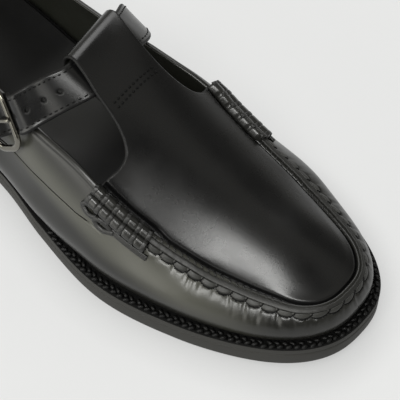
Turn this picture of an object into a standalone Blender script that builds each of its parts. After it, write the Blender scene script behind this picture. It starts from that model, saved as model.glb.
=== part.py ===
# T-bar loafer, right shoe, standing on its sole.
# X runs from heel to toe, +Y is the medial side, Z is up. Sizes below are in millimetres.
import math

import bmesh
import bpy
import numpy as np
from mathutils import Matrix, Vector

MM = 0.001
LENGTH = 268.0
TOE_CAP = 84.9
TOE_POWER = 2.5
TOE_TURN = 3.28
HEEL_CAP = 34.0
HEEL_POWER = 2.2
OUTSOLE_THICK = 6.6
WELT_THICK = 3.0
FIT_GAP = 0.3
SOLE_EDGE = OUTSOLE_THICK + FIT_GAP + WELT_THICK
HEEL_LENGTH = 68.0
HEEL_TAPER = 1.5
WALL = 1.5
WELT_UNDER = WALL + 1.0
INSOLE_RISE = 1.2
WALL_POWER = 2.1
WALL_BULGE = 1.2
SEAM_HEIGHT = 1.5
SEAM_HALF = 1.8
SEAM_START = 199.0
SEAM_FADE = 14.0
RIDGE_BACK = 25.0
RIDGE_FRONT = 230.0
TRIM = 0.4
STRAP_THICK = 1.8
STRAP_HALF = 8.0
STRAP_OFFSET = 1.3
STRAP_CLEAR = 0.55
ROLL_BACK = 168.5
ROLL_FRONT = 197.0
ROLL_WIDTH = 9.5
ROLL_HEIGHT = 3.4
ROLL_BLOCKS = 5
BUCKLE_BAR = 1.1
BUCKLE_ACROSS = 24.0
BUCKLE_ALONG = 15.5
BUCKLE_CORNER = 3.6
PRONG = 0.75
TAB_THICK = 1.0
TAB_HALF = 5.6
AROUND = 92

# Sole outline: station from the heel back, half breadth on the lateral and medial side.
OUTLINE = np.array([
    (0, 33.0, 32.0),
    (45, 34.1, 32.2),
    (95, 34.4, 32.0),
    (120, 36.6, 32.8),
    (145, 42.3, 37.6),
    (180, 47.7, 44.0),
    (215, 43.7, 44.0),
    (245, 40.5, 41.4),
    (268, 39.7, 37.5),
])
# Underside of the outsole: station, height above the ground.
TREAD = np.array([
    (0, 19.5), (50, 19.0), (75, 15.5), (100, 9.0), (130, 2.5),
    (158, 0.0), (200, 0.0), (235, 1.3), (268, 5.3),
])
# Sole edge showing outside the upper: station, lateral and medial margin.
MARGIN = np.array([
    (0, 1.6, 1.6), (60, 1.2, 1.2), (110, 0.5, 0.5), (170, 4.5, 3.4), (225, 4.5, 3.0), (268, 4.5, 4.5),
])
# Topline behind the throat and moccasin seam ahead of it:
# station, inset from the outline on the lateral and medial side, height.
GUIDE = np.array([
    (0, 4.5, 4.5, 79.0),
    (30, 5.5, 5.5, 72.0),
    (65, 6.5, 6.5, 62.0),
    (100, 7.0, 7.0, 56.5),
    (130, 8.5, 8.5, 55.0),
    (145, 10.5, 10.5, 54.0),
    (157, 12.5, 12.5, 52.3),
    (169, 14.0, 14.0, 48.8),
    (182, 15.5, 15.2, 43.5),
    (196, 16.0, 15.4, 38.0),
    (212, 15.8, 14.8, 32.4),
    (228, 15.2, 13.8, 28.4),
    (245, 13.0, 11.6, 27.0),
    (258, 10.2, 9.6, 27.2),
    (268, 9.0, 9.0, 27.8),
])
# Top of the foot: station, height, roundness of the section, sideways place of the crest.
CREST = np.array([
    (20, 96.0, 3.5, 0.0),
    (60, 95.0, 3.4, -0.2),
    (100, 92.0, 3.2, -0.3),
    (125, 87.5, 3.1, 0.0),
    (141, 81.0, 3.0, 0.0),
    (160, 69.0, 2.5, -0.2),
    (176, 59.5, 2.3, 0.4),
    (195, 50.5, 2.2, 1.2),
    (212, 44.0, 2.1, 2.0),
    (232, 38.5, 2.1, 3.0),
    (248, 34.2, 2.1, 3.0),
    (262, 29.5, 2.1, 3.0),
])
# Edge of the opening seen from above: lateral throat back to the fold, fold forward to the medial throat.
THROAT_LATERAL = np.array([
    (168.4, -38.0), (170.6, -32.9), (173.0, -28.5), (173.9, -24.0), (173.2, -20.4), (171.4, -18.4),
    (167.3, -16.2), (162.6, -15.0), (158.4, -14.4), (154.4, -14.0), (148.8, -12.9), (144.1, -12.3),
])
THROAT_MEDIAL = np.array([
    (137.2, 16.3), (143.8, 14.9), (150.1, 14.5), (158.0, 14.9), (163.5, 15.8), (168.1, 17.4), (171.4, 19.6),
    (172.4, 22.4), (171.6, 26.0), (169.6, 30.0), (167.6, 38.0),
])
# Section of the tab's round fold and its return under the strap:
# station at the middle, depth below the face.
RETURN = np.array([
    (142.4, 0.75), (139.3, 0.35), (137.4, 1.5), (136.2, 3.4), (135.9, 5.2), (136.4, 7.4), (137.8, 9.2),
    (140.2, 10.2), (143.0, 10.0), (150.0, 8.0), (158.8, 4.4), (162.6, 3.0), (162.6, 0.8), (158.8, 0.8),
    (157.6, 3.0), (150.0, 6.5), (143.0, 8.5), (140.4, 8.7), (138.7, 8.0), (137.7, 6.8), (137.4, 5.2),
    (137.6, 3.9), (138.5, 2.6), (139.8, 1.75), (142.4, 1.2),
])
# Medial end of the strap, middle of its thickness:
# front edge x, y, z and rear edge x, y, z.
STRAP_MEDIAL = np.array([
    (127.0, 33.6, 38.0, 116.4, 33.2, 47.8),
    (133.6, 33.0, 47.2, 122.4, 32.0, 56.8),
    (140.2, 30.6, 56.8, 127.6, 29.0, 66.4),
    (146.6, 24.4, 63.6, 132.5, 21.6, 71.8),
])
# Strap under the tab, front and rear edge: station at the middle, skew, depth below the tab's face.
STRAP_LOOP = ((153.3, 0.115, 2.9), (138.8, 0.225, 4.1))
# Outward bow of the strap between tab and buckle, for both edges.
STRAP_BOW = np.array((0.3, -0.6, 0.8, 0.3, -0.6, 0.8)) * 1.2
# Strap through the buckle: distance from the hinge bar toward the instep, height off the frame.
STRAP_BUCKLE = np.array([
    (19.0, -2.7), (15.5, -2.7), (11.5, -0.8), (8.0, 2.2), (4.0, 4.1), (0.0, 4.5), (-5.0, 2.9),
    (-10.0, 0.6), (-15.0, -1.2), (-21.0, -2.2),
])
# Lateral frame of the buckle: middle of the front bar, way along the strap, way along the bar.
BUCKLE_FRONT = np.array((129.8, -35.6, 57.3))
BUCKLE_WAY = np.array((-0.800, -0.075, -0.600))
BUCKLE_UP = np.array((-0.620, 0.200, 0.750))


def column(table, index):
    """Smooth curve through one column of a table, with no overshoot."""
    xs = table[:, 0]
    ys = table[:, index]
    step = np.diff(xs)
    rise = np.diff(ys) / step
    slope = np.zeros(len(xs))
    for i in range(1, len(xs) - 1):
        if rise[i - 1] * rise[i] > 0:
            w1 = 2 * step[i] + step[i - 1]
            w2 = step[i] + 2 * step[i - 1]
            slope[i] = (w1 + w2) / (w1 / rise[i - 1] + w2 / rise[i])
    slope[0] = rise[0]
    slope[-1] = rise[-1]

    def value(x):
        q = np.clip(np.asarray(x, float), xs[0], xs[-1])
        i = np.clip(np.searchsorted(xs, q) - 1, 0, len(step) - 1)
        t = (q - xs[i]) / step[i]
        near = (1 + 2 * t) * (1 - t) ** 2 * ys[i] + t * (1 - t) ** 2 * step[i] * slope[i]
        far = t * t * (3 - 2 * t) * ys[i + 1] + t * t * (t - 1) * step[i] * slope[i + 1]
        return near + far

    return value


breadth_lateral = column(OUTLINE, 1)
breadth_medial = column(OUTLINE, 2)
tread_z = column(TREAD, 1)
margin_lateral = column(MARGIN, 1)
margin_medial = column(MARGIN, 2)
guide_lateral = column(GUIDE, 1)
guide_medial = column(GUIDE, 2)
guide_z = column(GUIDE, 3)
crest_z = column(CREST, 1)
crest_power = column(CREST, 2)
crest_y = column(CREST, 3)


def by_side(angle, lateral, medial, x):
    return np.where(np.sin(angle) >= 0, lateral(x), medial(x))


def outline(angle):
    """Sole outline: 0 at the heel back, pi at the toe, lateral side first."""
    angle = np.asarray(angle, float)
    x = LENGTH / 2 * (1 - np.cos(angle))
    back = np.clip((HEEL_CAP - x) / HEEL_CAP, 0, 1)
    toe = np.clip((x - (LENGTH - TOE_CAP)) / TOE_CAP, 0, 1)
    cap = (1 - back ** HEEL_POWER) ** (1 / HEEL_POWER) * (1 - toe ** TOE_POWER) ** (1 / TOE_POWER)
    side = np.where(np.sin(angle) >= 0, -1.0, 1.0)
    y = side * by_side(angle, breadth_lateral, breadth_medial, x) * cap + TOE_TURN * toe ** 2
    return np.stack([x, y], -1)


def inset(angle, distance):
    """Outline moved inward."""
    run = outline(angle + 0.001) - outline(angle - 0.001)
    run = run / (np.linalg.norm(run, axis=-1)[..., None] + 1e-12)
    inward = np.stack([-run[..., 1], run[..., 0]], -1)
    return outline(angle) + inward * np.asarray(distance)[..., None]


def margin(angle):
    return by_side(angle, margin_lateral, margin_medial, outline(angle)[..., 0])


def guide(angle):
    x = outline(angle)[..., 0]
    xy = inset(angle, by_side(angle, guide_lateral, guide_medial, x))
    return np.concatenate([xy, guide_z(x)[..., None]], -1)


def crest_x(angle):
    x = outline(angle)[..., 0]
    u = x / LENGTH
    return x + RIDGE_BACK * (1 - u) ** 3 - (LENGTH - RIDGE_FRONT) * u ** 3


def side_wall(angle, p):
    """Upper from the sole (p 0) to the guide line (p 1)."""
    foot = inset(angle, margin(angle))
    top = guide(angle)
    rise = 0.78 * (1 - (1 - p) ** WALL_POWER) ** (1 / WALL_POWER) + 0.22 * p
    out = foot - top[..., :2]
    out = out / (np.linalg.norm(out, axis=-1)[..., None] + 1e-9)
    xy = foot + (top[..., :2] - foot) * p[..., None] + out * (WALL_BULGE * np.sin(np.pi * rise))[..., None]
    low = tread_z(foot[..., 0]) + SOLE_EDGE + FIT_GAP
    return np.concatenate([xy, (low + (top[..., 2] - low) * rise)[..., None]], -1)


def dome(angle, q):
    """Upper from the guide line (q 0) to the crest (q 1)."""
    start = guide(angle)
    x = crest_x(angle)
    end = np.stack([x, crest_y(x)], -1)
    xy = start[..., :2] + (end - start[..., :2]) * q[..., None]
    rise = 1 - (1 - q) ** crest_power(x)
    z = start[..., 2] + (crest_z(xy[..., 0]) - start[..., 2]) * rise
    return np.concatenate([xy, z[..., None]], -1)


def surface(angle, s):
    """Whole outside of the upper: s 0 to 1 is the side wall, 1 to 2 the dome."""
    angle, s = np.broadcast_arrays(np.asarray(angle, float), np.asarray(s, float))
    low = side_wall(angle, np.clip(s, 0, 1))
    high = dome(angle, np.clip(s - 1, 0, 1))
    return np.where((s <= 1)[..., None], low, high)


def normal(angle, s):
    """Outward direction of the upper's surface."""
    angle, s = np.broadcast_arrays(np.asarray(angle, float), np.asarray(s, float))
    s = np.clip(s, 0.02, 1.98)
    du = surface(angle + 0.004, s) - surface(angle - 0.004, s)
    dv = surface(angle, s + 0.012) - surface(angle, s - 0.012)
    n = np.cross(du, dv)
    return n / (np.linalg.norm(n, axis=-1)[..., None] + 1e-12)


def dome_at(x, y):
    """Point of the dome over a place seen from above, and its outward direction."""
    x, y = np.broadcast_arrays(np.asarray(x, float), np.asarray(y, float))
    low = np.full(x.shape, 0.6)
    high = np.full(x.shape, 2.5)
    medial = y > crest_y(x)
    for _ in range(44):
        mid = (low + high) / 2
        angle = np.where(medial, 2 * np.pi - mid, mid)
        start = guide(angle)
        cx = crest_x(angle)
        cy = crest_y(cx)
        q = np.clip((y - start[..., 1]) / (cy - start[..., 1]), 0, 1)
        ahead = start[..., 0] + (cx - start[..., 0]) * q > x
        high = np.where(ahead, mid, high)
        low = np.where(ahead, low, mid)
    return surface(angle, 1 + q), normal(angle, 1 + q)


def wall_y(x, z, side):
    """Outside of the side wall at a station and height; side -1 is lateral."""
    x, z = np.broadcast_arrays(np.asarray(x, float), np.asarray(z, float))
    angle = np.arccos(np.clip(1 - 2 * x / LENGTH, -1, 1))
    angle = angle if side < 0 else 2 * np.pi - angle
    low = np.zeros(x.shape)
    high = np.ones(x.shape)
    for _ in range(30):
        mid = (low + high) / 2
        above = side_wall(angle, mid)[..., 2] > z
        high = np.where(above, mid, high)
        low = np.where(above, low, mid)
    return side_wall(angle, mid)[..., 1]


def through(rows, per):
    """Smooth run through rows of numbers."""
    rows = np.array(rows, float)
    far = np.concatenate([[0.0], np.cumsum(np.linalg.norm(np.diff(rows, axis=0), axis=1))])
    slope = np.gradient(rows, far, axis=0)
    out = []
    for i in range(len(rows) - 1):
        span = far[i + 1] - far[i]
        for k in range(per):
            t = k / per
            out.append((1 + 2 * t) * (1 - t) ** 2 * rows[i] + t * (1 - t) ** 2 * span * slope[i]
                       + t * t * (3 - 2 * t) * rows[i + 1] + t * t * (t - 1) * span * slope[i + 1])
    out.append(rows[-1])
    return np.array(out)


LOOP = np.linspace(0, 2 * np.pi, AROUND + 1)[:-1]
EDGE = outline(np.linspace(0, 2 * np.pi, 2001))
MIDDLE_Y = (EDGE[:, 1].min() + EDGE[:, 1].max()) / 2


def placed(p):
    """Millimetres from the heel back to metres from the middle of the sole."""
    return ((p[0] - LENGTH / 2) * MM, (p[1] - MIDDLE_Y) * MM, p[2] * MM)


for old in list(bpy.data.objects):
    bpy.data.objects.remove(old, do_unlink=True)
shoe = bpy.data.collections.new("t_bar_loafer")
bpy.context.scene.collection.children.link(shoe)
cutters = bpy.data.collections.new("cutters")
bpy.context.scene.collection.children.link(cutters)


def finish(name, look):
    """Material of one piece: colour, roughness and metallic value."""
    colour, rough, metal = look
    mat = bpy.data.materials.new(name)
    mat.use_nodes = True
    shader = mat.node_tree.nodes["Principled BSDF"]
    shader.inputs["Base Color"].default_value = (*colour, 1.0)
    shader.inputs["Roughness"].default_value = rough
    shader.inputs["Metallic"].default_value = metal
    return mat


def as_cutter(obj):
    for home in obj.users_collection:
        home.objects.unlink(obj)
    cutters.objects.link(obj)
    obj.hide_render = True
    obj.display_type = "WIRE"
    return obj


def solid(name, verts, faces, look=None):
    """Object from vertices in millimetres; with no look it is a cutter."""
    mesh = bpy.data.meshes.new(name)
    mesh.from_pydata([placed(v) for v in verts], [], faces)
    bm = bmesh.new()
    bm.from_mesh(mesh)
    bmesh.ops.remove_doubles(bm, verts=bm.verts, dist=0.000004)
    bmesh.ops.recalc_face_normals(bm, faces=bm.faces)
    bm.to_mesh(mesh)
    bm.free()
    obj = bpy.data.objects.new(name, mesh)
    if look is None:
        return as_cutter(obj)
    shoe.objects.link(obj)
    mesh.materials.append(finish(name, look))
    return obj


def skin(rows, ring, caps):
    """Faces over rows of equal length; ring closes each row, caps closes the first and last row."""
    count = len(rows[0])
    verts = [v for row in rows for v in row]
    faces = []
    span = count if ring else count - 1
    for r in range(len(rows) - 1):
        for c in range(span):
            d = (c + 1) % count
            faces.append((r * count + c, r * count + d, (r + 1) * count + d, (r + 1) * count + c))
    if caps:
        faces.append(tuple(range(count)))
        faces.append(tuple((len(rows) - 1) * count + c for c in range(count)))
    return verts, faces


def slab(name, distance, low, high, look, front=None):
    """Plate following the sole: outline moved in, lower and upper face by station."""
    half = np.linspace(0, np.pi, AROUND // 2 + 1)
    rows = []
    for a in half:
        left = inset(np.array(a), distance(np.array(a), 0))
        right = inset(np.array(2 * np.pi - a), distance(np.array(2 * np.pi - a), 0))
        left_low = inset(np.array(a), distance(np.array(a), 1))
        right_low = inset(np.array(2 * np.pi - a), distance(np.array(2 * np.pi - a), 1))
        if a in (half[0], half[-1]):
            right = left
            right_low = left_low
        row = []
        for t in (0.0, 0.5, 1.0):
            p = left + (right - left) * t
            row.append((p[0], p[1], float(high(p[0]))))
        for t in (1.0, 0.5, 0.0):
            p = left_low + (right_low - left_low) * t
            row.append((p[0], p[1], float(low(p[0]))))
        rows.append(row)
    if front is not None:
        rows = [r for r in rows if max(p[0] for p in r) < front - 2.0]
        last = rows[-1]
        ends = [float(high(front))] * 3 + [float(low(front))] * 3
        rows.append([(front, p[1], z) for p, z in zip(last, ends)])
    verts, faces = skin(rows, True, False)
    faces.append(tuple(range(6)))
    faces.append(tuple((len(rows) - 1) * 6 + c for c in range(6)))
    return solid(name, verts, faces, look)


LEATHER = ((0.012, 0.012, 0.013), 0.28, 0.0)
RUBBER = ((0.035, 0.034, 0.032), 0.6, 0.0)
WELTING = ((0.015, 0.015, 0.016), 0.55, 0.0)
FOOT_BED = ((0.03, 0.029, 0.027), 0.55, 0.0)
STEEL = ((0.62, 0.60, 0.57), 0.2, 1.0)

# Outsole, heel, welt and foot bed.
slab("outsole", lambda a, low: 0.0, tread_z, lambda x: tread_z(x) + OUTSOLE_THICK, RUBBER)
slab("heel", lambda a, low: 0.6 + HEEL_TAPER * low, lambda x: 0.0, lambda x: tread_z(x) - FIT_GAP, RUBBER,
     front=HEEL_LENGTH)
slab("insole", lambda a, low: margin(a) + WELT_UNDER + 0.3, lambda x: tread_z(x) + OUTSOLE_THICK + FIT_GAP,
     lambda x: tread_z(x) + SOLE_EDGE + INSOLE_RISE, FOOT_BED)
outer = outline(LOOP)
inner = inset(LOOP, margin(LOOP) + WELT_UNDER)
welt_rows = []
for k in range(AROUND):
    row = []
    for p, high in ((outer[k], 0), (outer[k], 1), (inner[k], 1), (inner[k], 0)):
        low = float(tread_z(p[0])) + OUTSOLE_THICK + FIT_GAP
        row.append((p[0], p[1], low + WELT_THICK * high))
    welt_rows.append(row)
welt_rows.append(welt_rows[0])
solid("welt", *skin(welt_rows, True, False), WELTING)

# Upper: an outer and an inner form from the same surface, opened at the collar and the cut-outs.
WALL_STEPS = (0.0, 0.06, 0.16, 0.3, 0.46, 0.62, 0.78, 0.9, 0.95)
DOME_STEPS = (1.0, 1.05, 1.12, 1.24, 1.38, 1.54, 1.7, 1.86, 2.0)


def form(depth, drop, name):
    rows = []
    for s in WALL_STEPS + DOME_STEPS:
        p = surface(LOOP, s)
        n = normal(LOOP, s)
        if s == 2.0:
            n = np.array([(0.0, 0.0, 1.0)] * AROUND)
        lift = 0.0
        if depth == 0:
            away = np.linalg.norm(p - surface(LOOP, 1.0), axis=-1)
            fade = np.clip((p[:, 0] - SEAM_START) / SEAM_FADE, 0, 1)
            lift = (SEAM_HEIGHT * np.exp(-(away / SEAM_HALF) ** 2) * fade)[:, None]
        if s == 0.0 and drop:
            level = n * (1, 1, 0)
            level = level / np.linalg.norm(level, axis=-1)[:, None]
            foot = p - level * depth
            rows.append(foot - (0, 0, drop))
            rows.append(foot)
        else:
            rows.append(p - n * depth + n * lift)
    verts, faces = skin([list(map(tuple, r)) for r in rows], True, False)
    for k in range(AROUND // 2):
        faces.append((k, k + 1, (AROUND - k - 1) % AROUND, (AROUND - k) % AROUND))
    top = (len(rows) - 1) * AROUND
    for k in range(1, AROUND // 2):
        mean = tuple((np.array(verts[top + k]) + np.array(verts[top + AROUND - k])) / 2)
        verts[top + k] = mean
        verts[top + AROUND - k] = mean
    return solid(name, verts, faces, None if depth else LEATHER)


upper = form(0.0, 0.0, "upper")
hollow = form(WALL, 8.0, "hollow")


def combine(target, tool, way):
    mod = target.modifiers.new(tool.name, "BOOLEAN")
    mod.operation = way
    mod.solver = "EXACT"
    mod.object = tool
    return mod


edge = [*map(tuple, through(THROAT_LATERAL, 4)), *map(tuple, through(THROAT_MEDIAL, 4))]
plan = [(-30.0, -90.0), (edge[0][0], -90.0), *edge, (edge[-1][0], 90.0), (-30.0, 90.0)]
plan_rows = [[(x, y, z) for x, y in plan] for z in (-20.0, 150.0)]
opening = solid("opening", *skin(plan_rows, True, True))
profile = [(x, float(guide_z(x)) - TRIM) for x in np.linspace(0, 186, 32)]
profile = [(-40.0, profile[0][1]), *profile, (186.0, 160.0), (-40.0, 160.0)]
profile_rows = [[(x, y, z) for x, z in profile] for y in (-95.0, 95.0)]
above = solid("above_topline", *skin(profile_rows, True, True))
combine(opening, above, "INTERSECT")
combine(upper, hollow, "DIFFERENCE")
combine(upper, opening, "DIFFERENCE")


# The tab's return: under the strap, joined to the tab at the fold and at the stitch line.
def loop_shift(x, y):
    return -y * np.interp(x, (138.0, 160.0), (0.24, 0.05))


return_rows = []
for share in np.linspace(0, 1, 9):
    row = []
    for x, depth in RETURN:
        y = np.interp(x, (137.0, 160.0), (-11.7 + 27.3 * share, -13.4 + 27.3 * share))
        point, out = dome_at(x + loop_shift(x, y), y)
        row.append(tuple(point - out * depth))
    return_rows.append(row)
tab_return = solid("tab_return", *skin(return_rows, True, True))
combine(upper, tab_return, "UNION")


# Bound rolls at the ends of the moccasin seam.
def beef_roll(name, side):
    start = math.acos(1 - 2 * ROLL_BACK / LENGTH)
    stop = math.acos(1 - 2 * ROLL_FRONT / LENGTH)
    along = np.linspace(0, 1, 4 * ROLL_BLOCKS + 1)
    across = np.linspace(-1, 1, 9)
    fine = np.linspace(0, 1, 201)
    rows = []
    for t in along:
        angle = start + (stop - start) * t
        angle = angle if side < 0 else 2 * np.pi - angle
        line = surface(np.full(201, angle), fine)
        gone = np.concatenate([[0.0], np.cumsum(np.linalg.norm(np.diff(line[::-1], axis=0), axis=1))])
        block = 0.74 + 0.26 * abs(math.sin(math.pi * ROLL_BLOCKS * t)) ** 0.6
        end = min(1.0, 0.35 + 9 * t, 0.35 + 9 * (1 - t))
        high = []
        low = []
        for w in across:
            down = ROLL_WIDTH * (1 - w) / 2 - 0.6
            s = 1 - np.interp(down, gone, fine) if down > 0 else 1 - down / 40
            p = surface(angle, s)
            n = normal(angle, np.clip(s, 0.03, 0.97))
            tall = 0.5 + ROLL_HEIGHT * block * end * max(0.0, 1 - w * w) ** 0.6
            high.append(tuple(p + n * (FIT_GAP + 0.15 + tall)))
            low.append(tuple(p + n * (FIT_GAP + 0.15)))
        rows.append(high + low[::-1])
    return solid(name, *skin(rows, True, True), LEATHER)


beef_roll("beef_roll_lateral", -1)
beef_roll("beef_roll_medial", 1)


# Buckle: frame, prong and the tab that holds the hinge bar.
way = BUCKLE_WAY / np.linalg.norm(BUCKLE_WAY)
up = BUCKLE_UP - way * (BUCKLE_UP @ way)
up = up / np.linalg.norm(up)
face = np.cross(up, way)
face = face if face[1] < 0 else -face
hinge = BUCKLE_FRONT + way * BUCKLE_ALONG


def in_buckle(ahead, across, off):
    """Place by distance ahead of the hinge bar, across the strap and off the frame's plane."""
    return hinge - way * ahead + up * across + face * off


BUCKLE_AXES = Matrix([(*axis, 0.0) for axis in (-way, up, face)] + [(*placed(hinge), 1.0)]).transposed()


def bar(name, points, radius, closed):
    """Round metal bar along a line of points."""
    curve = bpy.data.curves.new(name, "CURVE")
    curve.dimensions = "3D"
    curve.bevel_depth = radius * MM
    curve.bevel_resolution = 2
    curve.use_fill_caps = not closed
    spline = curve.splines.new("POLY")
    spline.points.add(len(points) - 1)
    spline.use_cyclic_u = closed
    for spot, point in zip(spline.points, points):
        spot.co = (*placed(point), 1.0)
    curve.materials.append(finish(name, STEEL))
    obj = bpy.data.objects.new(name, curve)
    shoe.objects.link(obj)
    return obj


def buckle_cutter(name, centre, size, turn=None):
    """Box, or a cylinder turned about the frame's own X, in the buckle's axes."""
    spot = Matrix.Translation(Vector(centre) * MM)
    if turn is None:
        bpy.ops.mesh.primitive_cube_add(size=1.0)
    else:
        bpy.ops.mesh.primitive_cylinder_add(vertices=12, radius=0.5, depth=1.0)
        spot = spot @ Matrix.Rotation(turn, 4, "X")
    obj = bpy.context.object
    obj.name = name
    obj.matrix_world = BUCKLE_AXES @ spot @ Matrix.Diagonal((*(Vector(size) * MM), 1.0))
    return as_cutter(obj)


frame_line = []
for corner, (ax, ay) in enumerate(((1, 1), (1, -1), (-1, -1), (-1, 1))):
    middle = (BUCKLE_ALONG / 2 + ax * (BUCKLE_ALONG / 2 - BUCKLE_CORNER),
              ay * (BUCKLE_ACROSS / 2 - BUCKLE_CORNER))
    for k in range(6):
        turn = math.radians(90 - 90 * corner - 18 * k)
        frame_line.append(in_buckle(middle[0] + BUCKLE_CORNER * math.cos(turn),
                                    middle[1] + BUCKLE_CORNER * math.sin(turn), 0.0))
bar("buckle_frame", frame_line, BUCKLE_BAR, True)

reach = BUCKLE_BAR + FIT_GAP + PRONG
prong_line = [in_buckle(reach * math.cos(t), 0.0, reach * math.sin(t))
              for t in np.radians(np.linspace(310, 100, 9))]
for ahead in (2.5, 7.0, 11.0, 14.0, BUCKLE_ALONG + 0.6):
    prong_line.append(in_buckle(ahead, 0.0, reach))
prong_line.append(in_buckle(BUCKLE_ALONG + 2.2, 0.0, reach - 0.35))
bar("buckle_prong", prong_line, PRONG, False)

eye_in = BUCKLE_BAR + FIT_GAP
eye_out = eye_in + TAB_THICK
turns = np.radians(np.linspace(-60, 190, 11))
tab_outline = [(eye_out * math.cos(t), eye_out * math.sin(t)) for t in turns]
tab_outline += [(-8.5, -1.5), (-8.5, -2.4), (-2.0, -2.2)]
tab_rows = [[tuple(in_buckle(a, across, o)) for a, o in tab_outline] for across in (-TAB_HALF, TAB_HALF)]
buckle_tab = solid("buckle_tab", *skin(tab_rows, True, True), LEATHER)
bore = buckle_cutter("bar_bore", (0.0, 0.0, 0.0), (2 * eye_in, 2 * eye_in, 24.0), math.radians(90))
slot = buckle_cutter("prong_slot", (0.55, 0.0, 0.0), (8.9, 3.0, 10.0))
combine(buckle_tab, bore, "DIFFERENCE")
combine(buckle_tab, slot, "DIFFERENCE")


# Strap: sewn to the medial quarter, through the loop, under and over the buckle's bars.
def strap_rows():
    rows = [tuple(r) for r in STRAP_MEDIAL]
    for y in (15.0, 8.0, 0.0, -7.0, -12.6):
        row = []
        for x, skew, depth in STRAP_LOOP:
            point, out = dome_at(x - skew * y, y)
            row.extend(point - out * depth)
        rows.append(tuple(row))
    start = np.array(rows[-1])
    for ahead, off in STRAP_BUCKLE:
        low, high = STRAP_OFFSET - STRAP_HALF, STRAP_OFFSET + STRAP_HALF
        rows.append((*in_buckle(ahead, low, off), *in_buckle(ahead, high, off)))
    end = np.array(rows[-len(STRAP_BUCKLE)])
    between = [start + (end - start) * t + STRAP_BOW * math.sin(math.pi * t) for t in (0.33, 0.67)]
    return np.array([*rows[:-len(STRAP_BUCKLE)], *between, *rows[-len(STRAP_BUCKLE):]])


run = through(strap_rows(), 3)
middle = np.array([[r[:3] + (r[3:] - r[:3]) * w for w in np.linspace(0, 1, 4)] for r in run])
# Where the strap lies on a quarter it stays clear of the leather.
for side in (-1, 1):
    topline = guide_z(middle[..., 0])
    beside = wall_y(middle[..., 0], np.minimum(middle[..., 2], topline - TRIM), side)
    short = beside + side * (STRAP_THICK / 2 + STRAP_CLEAR) - middle[..., 1]
    spot = (middle[..., 1] * side > 20) & (middle[..., 2] < topline + 3.0) & (short * side > 0)
    middle[..., 1] += np.where(spot, short, 0.0)
strap = solid("strap", *skin([list(map(tuple, row)) for row in middle], False, False), LEATHER)
thicken = strap.modifiers.new("thickness", "SOLIDIFY")
thicken.thickness = STRAP_THICK * MM
thicken.offset = 0.0
prong_hole = buckle_cutter("prong_hole", (8.0, 0.0, 1.5), (6.8, 3.0, 15.0), 0.0)
combine(strap, prong_hole, "DIFFERENCE")
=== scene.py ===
import math

import bmesh
import bpy
import numpy as np
from mathutils import Matrix, Vector


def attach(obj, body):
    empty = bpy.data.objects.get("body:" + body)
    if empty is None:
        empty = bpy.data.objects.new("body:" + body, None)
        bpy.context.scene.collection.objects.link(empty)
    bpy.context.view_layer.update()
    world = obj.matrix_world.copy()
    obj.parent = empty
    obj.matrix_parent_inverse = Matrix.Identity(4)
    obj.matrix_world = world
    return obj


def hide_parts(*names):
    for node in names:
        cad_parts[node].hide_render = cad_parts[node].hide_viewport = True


# Looks of the t-bar loafer: leather panels, seams, stitches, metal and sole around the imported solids.
# Sizes are in millimetres from the heel back: X to the toe, +Y medial, Z up. Pieces are made in metres.
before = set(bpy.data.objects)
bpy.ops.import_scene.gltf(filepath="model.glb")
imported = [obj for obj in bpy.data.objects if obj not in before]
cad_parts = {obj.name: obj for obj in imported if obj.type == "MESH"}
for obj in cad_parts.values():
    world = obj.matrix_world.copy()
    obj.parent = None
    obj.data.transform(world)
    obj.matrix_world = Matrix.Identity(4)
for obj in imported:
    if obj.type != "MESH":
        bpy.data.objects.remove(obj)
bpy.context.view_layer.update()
draw = np.random.default_rng(11)

# Main sizes.
MM = 0.001
WELD = 0.002
LENGTH = 268.0
TOE_CAP = 84.9
TOE_POWER = 2.5
TOE_TURN = 3.28
HEEL_CAP = 34.0
HEEL_POWER = 2.2
OUTSOLE_THICK = 6.6
WELT_THICK = 3.0
FIT_GAP = 0.3
SOLE_EDGE = OUTSOLE_THICK + FIT_GAP + WELT_THICK
HEEL_LENGTH = 68.0
WALL = 1.5
INSOLE_RISE = 1.2
WALL_POWER = 2.1
WALL_BULGE = 1.2
WALL_ROUND = 0.78
RIDGE_BACK = 25.0
RIDGE_FRONT = 230.0
STRAP_THICK = 1.8
STRAP_HALF = 8.0
STRAP_WIDE = 2 * STRAP_HALF
HOLE_RADIUS = 0.62
STRAP_OFFSET = 1.3
STRAP_CLEAR = 0.55
TRIM = 0.4
ROLL_BACK = 168.5
ROLL_FRONT = 197.0
ROLL_BLOCKS = 5
BUCKLE_BAR = 1.1
BUCKLE_ACROSS = 24.0
BUCKLE_ALONG = 15.5
BUCKLE_CORNER = 5.4
PRONG = 0.75

# Turned tab: where the fold starts, its slant, its radius and the length of the leg under the strap.
FOLD_X = 141.1
FOLD_SKEW = 0.24
FOLD_RADIUS = 5.2
RETURN_LEG = 20.0
# Depth of that leg below the tab's face: length from the fold, depth.
RETURN_DEPTH = np.array([(0.0, 10.4), (2.0, 10.2), (9.0, 8.2), (18.0, 4.6), (22.0, 3.2)])

# Moccasin seam: flat band beside the plug, gathered edge below it, stitches.
GROOVE_DEPTH = 1.3
BAND_START = 0.7
BAND_END = 2.9
BAND_HEIGHT = 0.8
EDGE_TOP = 2.8
EDGE_FOOT = 5.4
EDGE_HEIGHT = 0.9
STITCH_PITCH = 5.7
PLUG_STITCH_PITCH = 2.85
GATHERS_PER_STITCH = 5
# Side wall: station where its mesh gets finer, depth of the gathers' zone, a distance beyond the shoe.
FINE_FROM = 188.0
GATHER_ZONE = 12.0
FAR_OFF = 100.0
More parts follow.
